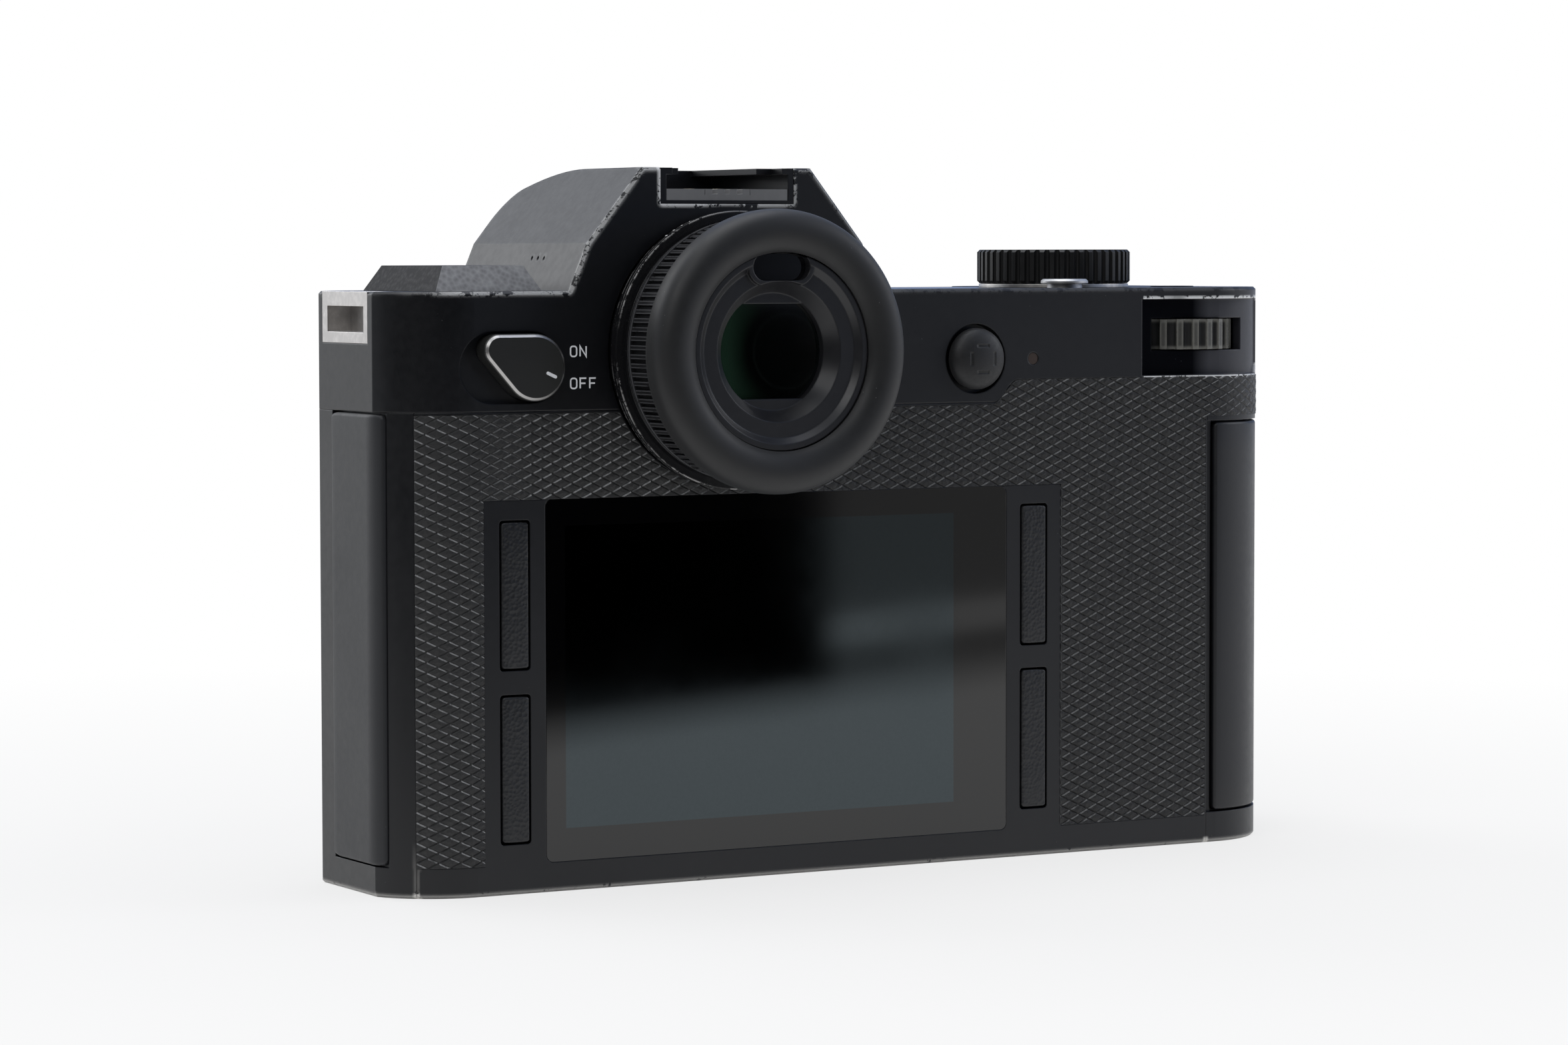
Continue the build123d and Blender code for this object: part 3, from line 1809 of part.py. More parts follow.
# Lens mount ring with its four claws
with BuildPart() as lens_mount_ring:
    turn(
        (
            (ring_back, throat_radius),
            (ring_back, ring_neck_radius),
            (boss_front + seam, ring_neck_radius),
            (boss_front + seam, ring_radius),
            (flange_y, ring_radius),
            (flange_y, throat_radius),
        ),
        lens_z,
    )
    pin_y(
        0,
        lens_z,
        claw_gap_radius,
        flange_y - claw_thickness - claw_groove,
        flange_y - claw_thickness,
        mode=Mode.SUBTRACT,
    )
    with BuildSketch(facing_back(flange_y + seam)):
        with Locations((0, lens_z)):
            with PolarLocations(
                claw_gap_radius, claw_count, start_angle=half_turn / claw_count
            ):
                Rectangle(2 * (claw_gap_radius - throat_radius) + slack, claw_gap_width)
            Circle(claw_gap_radius, mode=Mode.INTERSECT)
    extrude(amount=claw_thickness + seam, mode=Mode.SUBTRACT)
    for x, z in screw_places:
        pin_y(
            x,
            z,
            screw_head_radius + seam,
            flange_y - screw_sunk,
            flange_y + overrun,
            mode=Mode.SUBTRACT,
        )
    pin_y(lock_x, lock_z, pin_radius + fit, 0, flange_y + overrun, mode=Mode.SUBTRACT)
save(lens_mount_ring, "lens_mount_ring")

with BuildPart() as mount_screws:
    for x, z in screw_places:
        screw_front = flange_y - screw_recess
        pin_y(x, z, screw_head_radius, flange_y - screw_sunk, screw_front)
        pin_y(
            x,
            z,
            screw_head_radius / 2,
            screw_front - screw_drive,
            screw_front,
            mode=Mode.SUBTRACT,
        )
save(mount_screws, "mount_screws")

# Contact strip low in the throat
with BuildPart() as contact_block:
    pin_y(0, lens_z, throat_radius, inner_front_y - contact_block_depth, inner_front_y)
    slab(
        -contact_block_width / 2,
        contact_block_width / 2,
        0,
        flange_y,
        lens_z - throat_radius,
        lens_z - throat_radius + contact_block_rise,
        mode=Mode.INTERSECT,
    )
    for step in range(mount_contact_count):
        x = (step - (mount_contact_count - 1) / 2) * mount_contact_pitch
        z = lens_z - sqrt(mount_contact_circle**2 - x**2)
        pin_y(x, z, mount_contact_radius, inner_front_y, inner_front_y + mount_contact_proud)
save(contact_block, "contact_block")

# Lock pin, release button and function button
with BuildPart() as lens_lock_pin:
    pin_front = flange_y + pin_proud
    pin_y(lock_x, lock_z, pin_radius, pin_front - pin_length, pin_front)
    chamfer(lens_lock_pin.edges().sort_by(Axis.Y)[-1], length=pin_bevel)
save(lens_lock_pin, "lens_lock_pin")

for name, x, z, radius, proud, length in (
    ("lens_release_button", release_x, release_z, release_radius, release_proud, release_length),
    ("front_button", function_x, function_z, function_radius, function_proud, function_length),
):
    with BuildPart() as front_button:
        pin_y(x, z, radius, front_y + proud - length, front_y + proud)
        chamfer(front_button.edges().sort_by(Axis.Y)[-1], length=edge_break)
    save(front_button, name)

# Inner frame behind the mount
with BuildPart() as chassis:
    slab(
        chassis_left,
        chassis_right,
        chassis_back,
        inner_front_y,
        floor_thickness,
        seam_z - seam,
    )
    pin_y(0, lens_z, throat_radius, chassis_back + baffle_thickness, front_y, mode=Mode.SUBTRACT)
    slab(
        -baffle_hole_width / 2,
        baffle_hole_width / 2,
        0,
        front_y,
        lens_z - baffle_hole_height / 2,
        lens_z + baffle_hole_height / 2,
        mode=Mode.SUBTRACT,
    )
    for x, z, radius in front_buttons:
        pin_y(x, z, radius + fit, 0, front_y, mode=Mode.SUBTRACT)
save(chassis, "chassis")

# Shutter: a frame with a slot for two curtains, parked above and below the gate
curtain_half = gate_width / 2 + curtain_margin
with BuildPart() as shutter_frame:
    slab(
        -frame_half_width,
        frame_half_width,
        shutter_back,
        chassis_back,
        floor_thickness,
        ceiling_z - slack,
    )
    slab(
        -gate_width / 2,
        gate_width / 2,
        0,
        front_y,
        lens_z - gate_height / 2,
        lens_z + gate_height / 2,
        mode=Mode.SUBTRACT,
    )
    slot_y = (shutter_back + chassis_back) / 2
    slab(
        -curtain_half - fit,
        curtain_half + fit,
        slot_y - curtain_slot / 2,
        slot_y + curtain_slot / 2,
        lens_z - gate_height / 2 - curtain_height - fit,
        lens_z + gate_height / 2 + curtain_height + fit,
        mode=Mode.SUBTRACT,
    )
save(shutter_frame, "shutter_frame")

for name, side in (("shutter_curtain_upper", 1), ("shutter_curtain_lower", -1)):
    with BuildPart() as curtain:
        near = lens_z + side * gate_height / 2
        far = near + side * curtain_height
        mid_y = slot_y + side * (curtain_gap + curtain_sheet) / 2
        slab(
            -curtain_half,
            curtain_half,
            mid_y - curtain_sheet / 2,
            mid_y + curtain_sheet / 2,
            min(near, far),
            max(near, far),
        )
    save(curtain, name)

# Image sensor in its holder
with BuildPart() as sensor_holder:
    slab(
        -holder_half_width,
        holder_half_width,
        holder_back,
        shutter_back,
        lens_z - holder_half_height,
        lens_z + holder_half_height,
    )
    slab(
        -chip_width / 2 - seam,
        chip_width / 2 + seam,
        sensor_y - chip_thickness,
        front_y,
        lens_z - chip_height / 2 - seam,
        lens_z + chip_height / 2 + seam,
        mode=Mode.SUBTRACT,
    )
save(sensor_holder, "sensor_holder")

with BuildPart() as image_sensor:
    slab(
        -chip_width / 2,
        chip_width / 2,
        sensor_y - chip_thickness,
        sensor_y,
        lens_z - chip_height / 2,
        lens_z + chip_height / 2,
    )
save(image_sensor, "image_sensor")
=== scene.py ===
import math

import bmesh
import bpy
from mathutils import Matrix, Vector


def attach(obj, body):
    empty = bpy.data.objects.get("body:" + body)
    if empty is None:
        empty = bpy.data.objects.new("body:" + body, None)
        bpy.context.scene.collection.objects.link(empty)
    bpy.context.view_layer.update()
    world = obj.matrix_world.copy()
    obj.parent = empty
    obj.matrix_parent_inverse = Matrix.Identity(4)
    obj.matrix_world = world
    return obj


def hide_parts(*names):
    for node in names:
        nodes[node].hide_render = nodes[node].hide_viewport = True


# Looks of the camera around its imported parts. Lengths are in millimetres in the
# frame of the parts, and become metres where a mesh or a node takes them. Only
# the surroundings at the end are given in metres.

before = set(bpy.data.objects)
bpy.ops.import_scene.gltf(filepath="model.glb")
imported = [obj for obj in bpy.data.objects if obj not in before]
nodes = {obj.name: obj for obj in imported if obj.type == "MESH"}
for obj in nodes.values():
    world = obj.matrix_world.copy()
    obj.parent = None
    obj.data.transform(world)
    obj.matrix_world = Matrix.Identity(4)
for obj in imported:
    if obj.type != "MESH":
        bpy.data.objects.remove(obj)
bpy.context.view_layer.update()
mm = 0.001

# Places and sizes that the pieces share with the parts
back_y = -16.45
front_y = 16.45
end_left, end_right = -51.5, 95.5
end_half = 8.91
corner_radius = 13.4
corner_left, corner_right = -39.45, 83.45
corner_y = 3.05
corner_turn = 64.06
grip_side, grip_side_y = 95.0, 9.84
grip_turns = (25.94, 30.46)
grip_radius = 9.0
grip_corner_right, grip_corner_left = 86.0, 71.0
grip_corner_y, grip_front = 22.45, 31.45
grip_left = 62.0
root_radius = 3.0
root_x, root_y = 59.0, 19.45
eye_z = 74.9
cover_low = 4.2
cover_top = 66.4
cover_left, cover_right = -48.1, 81.4
cover_round_end = 116.6
door_top = 64.1
stick_x, stick_z = 41.0, 73.15
display_x, display_z = (-25.85, 37.25), (8.78, 50.84)
recess_x, recess_y, recess_z = (70.2, 95.4), (-16.2, -4.0), (70.25, 81.55)
lip_y, upper_lip_z, lower_lip_z = (-16.6, -4.0), (81.2, 82.1), (69.6, 71.8)

# Leather sheets before they are cut: from and to along the outline, from and to in height
rear_sheet = (-51.0, 120.0, 2.0, 73.0)
front_spare = 3
front_sheet_z = (2.0, 69.0)
bend_pitch = 1.2
underside = 0.3

# Embossed diamonds of the leather covering
diamond_u = 3.1
diamond_z = 1.42
groove_share = 0.14
groove_depth = 0.16
crown_lift = 0.05


# Node tools

edge_openness = (0.96, 0.72)
edge_samples, bevel_samples = 8, 6


class Nodes:
    """Short calls that add nodes to a tree, and hand on what comes out of them."""

    def __init__(self, tree, place):
        self.tree = tree
        self.place = self.node("ShaderNodeTexCoord").outputs[place]

    def node(self, kind, props=None, **inputs):
        """A new node; i0, i1 and so on stand for inputs by number, others by name."""
        made = self.tree.nodes.new(kind)
        for key, value in (props or {}).items():
            setattr(made, key, value)
        for key, value in inputs.items():
            numbered = key[0] == "i" and key[1:].isdigit()
            self.feed(made.inputs[int(key[1:]) if numbered else key], value)
        return made

    def feed(self, socket, value):
        if hasattr(value, "is_output"):
            self.tree.links.new(value, socket)
        else:
            socket.default_value = value

    def noise(self, scale, detail=2.0, rough=0.5):
        return self.node("ShaderNodeTexNoise", Vector=self.place, Scale=scale, Detail=detail,
                         Roughness=rough).outputs["Fac"]

    def cells(self, scale, feature="F1"):
        return self.node("ShaderNodeTexVoronoi", {"feature": feature}, Vector=self.place,
                         Scale=scale).outputs["Distance"]

    def math(self, kind, value, *others, clamp=False):
        """One operation over two or more values, or over one where it takes no more."""
        for other in others or (0.0,):
            value = self.node("ShaderNodeMath", {"operation": kind, "use_clamp": clamp},
                              i0=value, i1=other).outputs[0]
        return value

    def times(self, *values):
        return self.math("MULTIPLY", *values)

    def distance(self, a, b):
        return self.math("SQRT", self.math("ADD", self.times(a, a), self.times(b, b)))

    def span(self, value, low, high, to_low=0.0, to_high=1.0):
        """From to_low to to_high while value goes from low to high, and level outside."""
        made = self.node("ShaderNodeMapRange", {"clamp": True}, Value=value)
        for key, number in (("From Min", low), ("From Max", high),
                            ("To Min", to_low), ("To Max", to_high)):
            made.inputs[key].default_value = number
        return made.outputs["Result"]

    def over(self, place, ends, to_low=0.0, to_high=1.0):
        """The same as span, between two places in millimetres."""
        return self.span(place, ends[0] * mm, ends[1] * mm, to_low, to_high)

    def near(self, place, middle, ends):
        """1 at a place in millimetres, falling to 0 between two distances from it."""
        return self.over(self.math("ABSOLUTE", self.math("SUBTRACT", place, middle * mm)), ends)

    def mix(self, share, a, b):
        made = self.node("ShaderNodeMix", {"data_type": "RGBA"})
        self.feed(made.inputs["Factor"], share)
        self.feed(made.inputs[6], a if hasattr(a, "is_output") else (*a, 1.0))
        self.feed(made.inputs[7], b if hasattr(b, "is_output") else (*b, 1.0))
        return made.outputs[2]

    def axes(self):
        return self.node("ShaderNodeSeparateXYZ", Vector=self.place).outputs[:3]


class Look(Nodes):
    """A material under construction."""

    def __init__(self, name, **sockets):
        self.mat = bpy.data.materials.new(name)
        self.mat.use_nodes = True
        super().__init__(self.mat.node_tree, "Object")
        self.shader = self.tree.nodes["Principled BSDF"]
        for socket, value in sockets.items():
            self.shader.inputs[socket.replace("_", " ")].default_value = value

    def facing(self):
        """The way the surface faces, in the object's own X, Y and Z."""
        normal = self.node("ShaderNodeTexCoord").outputs["Normal"]
        return self.node("ShaderNodeSeparateXYZ", Vector=normal).outputs[:3]

    def inside_box(self, *ranges):
        """1 inside a box of ranges along X, Y and Z, where None is no limit."""
        total = 1.0
        for axis, limits in zip(self.axes(), ranges):
            if limits:
                total = self.times(total, self.math("GREATER_THAN", axis, limits[0] * mm),
                                   self.math("LESS_THAN", axis, limits[1] * mm))
        return total

    def edges(self, reach):
        """1 on outward edges, from how near the far side of the solid is."""
        made = self.node("ShaderNodeAmbientOcclusion",
                         {"inside": True, "only_local": True, "samples": edge_samples})
        made.inputs["Distance"].default_value = reach * mm
        return self.span(made.outputs["AO"], *edge_openness)

    def ridges(self, low, high):
        """1 on raised rims of the mesh itself, or in its grooves where low is above high."""
        point = self.node("ShaderNodeNewGeometry").outputs["Pointiness"]
        return self.span(point, low, high)

    def bump(self, height, strength, distance, normal=None):
        made = self.node("ShaderNodeBump", Height=height, Strength=strength)
        made.inputs["Distance"].default_value = distance * mm
        if normal is not None:
            self.feed(made.inputs["Normal"], normal)
        return made.outputs["Normal"]

    def soft_edge(self, radius):
        made = self.node("ShaderNodeBevel", {"samples": bevel_samples})
        made.inputs["Radius"].default_value = radius * mm
        return made.outputs["Normal"]

    def set(self, socket, value):
        self.feed(self.shader.inputs[socket], value)


# Scales of the patterns that every finish shares
broad_scale, fine_scale = 70.0, 900.0
dust_scale, dusty_scale = 1400.0, 260.0
rub_scale, rubbed_scale = 520.0, 60.0
dust_colour = (0.4, 0.4, 0.4)


def tinted(colour, share):
    return tuple(max(0.0, part * share) for part in colour)


def finish(name, colour, rough, metal=0.0, grain=4500.0, grain_depth=0.004, patch=0.08,
           wear=0.0, wear_and_painted_light_colour=(0.42, 0.41, 0.40), wear_reach=0.45, wear_metal=0.5,
           dust=0.0, round_edges=0.12, grain_kind="noise", wear_and_painted_light_where=None, zone=None, **sockets):
    """A solid finish: colour and gloss that vary, a fine grain, soft and worn edges, and painted
    light where a zone or the worn-edge mask adds it.
    """
    look = Look(name, **sockets)
    broad = look.noise(broad_scale, 3.0)
    fine = look.noise(fine_scale, 4.0, 0.6)
    tone = look.mix(broad, tinted(colour, 1 - patch), tinted(colour, 1 + patch))
    tone = look.mix(look.span(fine, 0.45, 0.75, 0.0, 0.5), tone, tinted(colour, 1 + 2 * patch))
    gloss = look.math("ADD", look.span(broad, 0.3, 0.7, rough - 0.02, rough + 0.02),
                      look.span(fine, 0.3, 0.7, -0.03, 0.03), clamp=True)
    metallic = metal
    # A zone can paint light and shade into the colour, as in the thumb wheel's recess.
    if zone:
        tone, metallic = zone(look, tone, metallic)
    if dust:
        spots = look.span(look.cells(dust_scale), 0.07, 0.03)
        rare = look.span(look.noise(dusty_scale), 0.62, 0.66)
        tone = look.mix(look.times(spots, rare, dust), tone, dust_colour)
    if wear:
        edge = look.edges(wear_reach)
        rub = look.span(look.noise(rub_scale, 6.0, 0.75), 0.66 - 0.2 * wear, 0.69 - 0.2 * wear)
        broad_rub = look.span(look.noise(rubbed_scale, 3.0), 0.66 - 0.3 * wear,
                              0.74 - 0.3 * wear)
        # The mask of where to wear can also lay painted highlights and a painted reflection on
        # these edges.
        share = look.times(edge, rub, broad_rub, wear_and_painted_light_where(look) if wear_and_painted_light_where else 1.0)
        tone = look.mix(share, tone, wear_and_painted_light_colour)
        metallic = look.math("MAXIMUM", look.times(share, wear_metal), metallic)
        gloss = look.math("SUBTRACT", gloss, look.times(share, 0.1))
    height = look.cells(grain) if grain_kind == "cells" else look.noise(grain, 2.0)
    normal = look.soft_edge(round_edges) if round_edges else None
    look.set("Base Color", tone)
    look.set("Roughness", gloss)
    look.set("Metallic", metallic)
    look.set("Normal", look.bump(height, 0.6, grain_depth, normal))
    return look.mat


def top_wear_and_lip_highlights(look):
    """Chips on the top plate's rear edge and on the hump, more on the left, and painted
    highlights along the upper and lower lips of the thumb wheel's recess.
    """
    fewer_to_right, rear_edge, hump_edge = (30, -4), (-14.5, -16.0), (82.0, 82.8)
    past_eyepiece = (20.0, 20.6)
    x, y, z = look.axes()
    out = look.distance(x, look.math("SUBTRACT", z, eye_z * mm))
    chips = look.times(look.over(z, hump_edge), look.over(x, fewer_to_right, 0.12, 1.0),
                       look.over(y, rear_edge, 0.1, 1.0), look.over(out, past_eyepiece))
    # Painted highlights on the recess lips, together with the chips.
    return look.math("MAXIMUM", look.inside_box(recess_x, lip_y, upper_lip_z),
                     look.inside_box(recess_x, lip_y, lower_lip_z), chips)


def base_wear_and_reflection(look):
    """Wear along the bottom edge, laid nearly all along it so that it is also a painted
    reflection of the white floor, and a little way up the seam of the rear cover.
    """
    bottom, seam_right, seam_left, seam_top = (1.0, 0.6), (-46.8, -47.2), (-48.2, -47.8), (8, 3)
    x, y, z = look.axes()
    seam = look.times(look.over(x, seam_right), look.over(x, seam_left),
                      look.over(z, seam_top, 0.0, 0.15))
    return look.math("MAXIMUM", look.over(z, bottom), seam)


def thumb_recess_painted_light(look, tone, metallic):
    """Painted light in the recess of the thumb wheel: painted shade at the left, where it is made
    metallic and so darker, and a paler colour as a painted highlight where it turns the corner.
    """
    corner_turns = (80.5, 83.5)
    inside = look.inside_box(recess_x, recess_y, recess_z)
    # Painted highlight where the recess turns the corner, and painted shade, by way of metallic,
    # over the rest.
    lit = look.times(inside, look.over(look.axes()[0], corner_turns))
    dim = look.math("SUBTRACT", inside, lit)
    return look.mix(lit, tone, (0.035, 0.035, 0.043)), look.math("MAXIMUM", dim, metallic)


black = (0.0046, 0.0049, 0.0066)
# Worn edges with near-white chips, and painted highlights on the lips of the thumb wheel's
# recess, which also has painted light of its own.
metal_top = finish("anodised_top", black, 0.40, wear=1.1, wear_and_painted_light_where=top_wear_and_lip_highlights, dust=0.5,
                   wear_reach=0.7, wear_and_painted_light_colour=(0.88, 0.88, 0.87), wear_metal=0.15,
                   round_edges=0.3, zone=thumb_recess_painted_light)
# The pale bottom edge is wear and also a painted reflection of the white floor.
metal_body = finish("anodised_body", black, 0.40, wear=1.5, wear_and_painted_light_where=base_wear_and_reflection, dust=0.4,
                    wear_reach=0.6, wear_and_painted_light_colour=(0.80, 0.77, 0.72), wear_metal=0.15,
                    round_edges=0.2)
metal_small = finish("anodised_small", black, 0.38, wear=0.35, wear_reach=0.2)
dial_metal = finish("dial_metal", (0.006, 0.006, 0.006), 0.47, wear=0.3, wear_reach=0.2)
drum_metal = finish("drum_metal", (0.009, 0.009, 0.010), 0.26, wear=0.9, wear_reach=0.25,
                    wear_metal=0.3, round_edges=0.25)
bare = finish("worn_steel", (0.60, 0.58, 0.56), 0.38, 1.0, grain=2500.0, grain_depth=0.01,
              patch=0.22)
chrome = finish("mount_steel", (0.62, 0.62, 0.62), 0.2, 1.0, grain=3000.0, patch=0.06)
silver = finish("silver_button", (0.60, 0.60, 0.60), 0.45, 1.0, patch=0.08)
ring_steel = finish("dial_ring", (0.66, 0.64, 0.61), 0.35, 1.0, patch=0.3)
cup_rubber = finish("cup_rubber", (0.0115, 0.0115, 0.0120), 0.52, grain=5200.0,
                    grain_depth=0.008, dust=0.8, round_edges=0.0, Sheen_Weight=0.05,
                    Sheen_Roughness=0.6)
rib_rubber = finish("ring_ribs", (0.012, 0.012, 0.013), 0.42, wear=1.4, wear_reach=0.22,
                    wear_metal=0.0, wear_and_painted_light_colour=(0.10, 0.10, 0.105), round_edges=0.08)
flap_skin = finish("flap_rubber", (0.0105, 0.0112, 0.0135), 0.52, grain=2600.0,
                   grain_depth=0.012, dust=0.3, Sheen_Weight=0.08)
door_skin = finish("door_skin", (0.0075, 0.0078, 0.0098), 0.42, grain=2600.0, grain_depth=0.01)
plastic = finish("black_plastic", (0.012, 0.012, 0.013), 0.5, grain=2400.0,
                 grain_depth=0.012)
satin = finish("satin_plastic", (0.016, 0.016, 0.018), 0.33, grain=6000.0,
               grain_depth=0.002, round_edges=0.3, wear=0.2, wear_reach=0.15,
               wear_and_painted_light_colour=(0.1, 0.1, 0.1))
shoe_plastic = finish("shoe_plastic", (0.21, 0.21, 0.215), 0.42, grain=2400.0,
                      grain_depth=0.012, round_edges=0.15)
bar_plastic = finish("bar_plastic", (0.011, 0.0115, 0.013), 0.45, grain=1900.0,
                     grain_depth=0.11, wear=0.5, wear_reach=0.3, grain_kind="cells",
                     wear_metal=0.0, wear_and_painted_light_colour=(0.12, 0.12, 0.12))
# The rib edges are pale almost all round: wear, and painted highlights on the ribs.
wheel_skin = finish("wheel_rubber", (0.016, 0.016, 0.016), 0.36, wear=1.9, wear_reach=0.7,
                    wear_metal=0.0, wear_and_painted_light_colour=(0.19, 0.185, 0.165))
cast = finish("cast_frame", (0.04, 0.04, 0.042), 0.55, 0.6, grain=1200.0, grain_depth=0.03)
gold = finish("contact_gold", (0.40, 0.35, 0.27), 0.45, 1.0, patch=0.12)
shutter_black = finish("shutter_blade", (0.012, 0.012, 0.013), 0.38, patch=0.1)
shell = finish("battery_shell", (0.018, 0.018, 0.020), 0.5, grain=2200.0, grain_depth=0.015,
               wear=0.3)
dark_glass = finish("dark_window", (0.004, 0.004, 0.005), 0.08, grain=400.0,
                    grain_depth=0.0005, round_edges=0.05)
lamp_glass = finish("lamp_glass", (0.050, 0.034, 0.026), 0.25, grain=600.0,
                    grain_depth=0.001)


def covering_look():
    """Soft black leather: fine pebble grain on the raised diamonds, painted shade in the grooves,
    and painted highlights on facets that lean towards the light, stronger at the left.
    """
    look = Look("leather_covering", Specular_IOR_Level=0.45)
    grain = look.cells(2300.0, "SMOOTH_F1")
    fibre = look.noise(4200.0, 3.0, 0.7)
    broad = look.noise(90.0, 3.0)
    height = look.math("ADD", grain, look.times(fibre, 0.8))
    base = look.mix(broad, (0.0115, 0.0113, 0.0112), (0.017, 0.0167, 0.0165))
    # Painted shade: the grooves are darkened.
    base = look.mix(look.ridges(0.49, 0.44), base, (0.0035, 0.0035, 0.0036))
    # Painted highlight: a facet is made pale where it leans up and, on the back, to the left, or
    # to the right near the left end.
    face_x, face_y, face_z = look.facing()
    x, y, z = look.axes()
    on_the_back = look.over(y, (-1, -6))
    out_x = look.math("ADD", look.over(x, (corner_left - corner_radius, corner_left), -1.0, 0.0),
                      look.over(x, (corner_right, corner_right + corner_radius)))
    out_y = look.math("SQRT", look.math("SUBTRACT", 1.0, look.times(out_x, out_x)))
    along = look.math("ADD", look.times(face_x, out_y), look.times(face_y, out_x))
    side = look.times(look.over(x, (-46, -24), 1.0, -1.0), on_the_back)
    lean = look.math("ADD", face_z, look.times(along, side))
    painted_facet_highlight = look.times(look.span(lean, 0.50, 0.72),
                        look.span(look.noise(800.0, 2.0), 0.32, 0.52, 0.25, 1.0),
                        look.span(fibre, 0.3, 0.6, 0.5, 1.0))
    # Painted light: the highlights are stronger towards the left of the back, and the base there
    # is lighter too.
    left = look.times(look.over(x, (30, -10)), on_the_back)
    painted_highlight_colour = look.mix(left, (0.24, 0.24, 0.238), (0.40, 0.40, 0.40))
    base = look.mix(look.times(left, 0.012), base, (1.0, 1.0, 1.0))
    look.set("Base Color", look.mix(painted_facet_highlight, base, painted_highlight_colour))
    look.set("Roughness", look.span(height, 0.5, 1.1, 0.36, 0.58))
    look.set("Normal", look.bump(height, 0.8, 0.08))
    return look.mat


def screen_look():
    """Black cover glass; the display behind it gives a stronger, bluish reflection."""
    look = Look("screen_glass", Specular_IOR_Level=0.68)
    lit = look.inside_box(display_x, None, display_z)
    smear = look.noise(55.0, 4.0, 0.6)
    pixels = look.noise(2600.0, 1.0)
    display = look.mix(pixels, (0.058, 0.069, 0.074), (0.065, 0.077, 0.083))
    look.set("Base Color", look.mix(lit, (0.0012, 0.0012, 0.0014), display))
    look.set("Metallic", lit)
    look.set("Roughness", look.span(smear, 0.4, 0.8, 0.05, 0.085))
    look.set("Normal", look.bump(look.noise(22.0), 0.1, 0.01, look.soft_edge(0.1)))
    return look.mat


def lens_look():
    """Dark finder lens; the green reflection of its coating is painted as a crescent at the left,
    and a paler ring is a painted reflection too.
    """
    look = Look("coated_lens", Coat_Weight=0.5, Coat_Roughness=0.02, Coat_IOR=1.5)
    coating_reflection_x, crescent, fades_to_right, ring_radius = 2.8, (6.2, 9.8), (1, -6), 5.2
    x, y, z = look.axes()
    out = look.distance(look.math("SUBTRACT", x, coating_reflection_x * mm),
                        look.math("SUBTRACT", z, eye_z * mm))
    # Painted reflection: the coating's green crescent, fading to the right.
    painted_green_reflection = look.times(look.over(out, crescent), look.over(x, fades_to_right),
                      look.span(look.noise(160.0, 3.0), 0.2, 0.8, 0.7, 1.0))
    # Painted reflection: a paler ring.
    ring = look.near(out, ring_radius, (0.3, 0.0))
    glass = look.mix(look.times(ring, 0.25), (0.0012, 0.0016, 0.0015),
                     (0.010, 0.014, 0.013))
    look.set("Base Color", look.mix(painted_green_reflection, glass, (0.018, 0.042, 0.026)))
    look.set("Roughness", look.span(look.noise(90.0), 0.3, 0.7, 0.03, 0.06))
    look.set("Normal", look.bump(look.noise(60.0), 0.05, 0.01))
    return look.mat


def stick_look():
    """Soft rubber cap with a short groove on each of its four sides, darkened as painted shade.
    """
    look = Look("stick_rubber", Sheen_Weight=0.05)
    groove_out, groove_side, groove_end = 1.9, (0.32, 0.14), (1.1, 0.8)
    x, y, z = look.axes()
    side = look.math("ABSOLUTE", look.math("SUBTRACT", x, stick_x * mm))
    rise = look.math("ABSOLUTE", look.math("SUBTRACT", z, stick_z * mm))

    def dash(across, along):
        return look.times(look.near(across, groove_out, groove_side),
                          look.over(along, groove_end))

    groove = look.math("MAXIMUM", dash(side, rise), dash(rise, side))
    grain = look.noise(3000.0, 2.0)
    height = look.math("SUBTRACT", look.times(grain, 0.05), groove)
    base = look.mix(look.noise(300.0, 3.0), (0.011, 0.011, 0.012), (0.016, 0.016, 0.017))
    # Painted shade: the grooves are darkened.
    look.set("Base Color", look.mix(groove, base, (0.003, 0.003, 0.003)))
    look.set("Roughness", look.span(grain, 0.3, 0.7, 0.45, 0.6))
    look.set("Normal", look.bump(height, 0.8, 0.15))
    return look.mat


def lever_look():
    """Dark brushed face inside a thin bright rim, where the bevel was cut after colouring."""
    look = Look("lever_metal")
    bevel_back, bevel_front = (-18.23, -18.19), (-17.86, -17.92)
    depth = look.axes()[1]
    bevel = look.times(look.over(depth, bevel_back), look.over(depth, bevel_front))
    sweep = look.noise(60.0, 2.0)
    fine = look.noise(2400.0, 3.0)
    face = look.mix(sweep, (0.017, 0.017, 0.016), (0.031, 0.031, 0.029))
    look.set("Base Color", look.mix(bevel, face, (0.50, 0.49, 0.48)))
    look.set("Metallic", bevel)
    look.set("Roughness", look.span(fine, 0.3, 0.7, 0.34, 0.42))
    look.set("Normal", look.bump(fine, 0.5, 0.004, look.soft_edge(0.1)))
    return look.mat


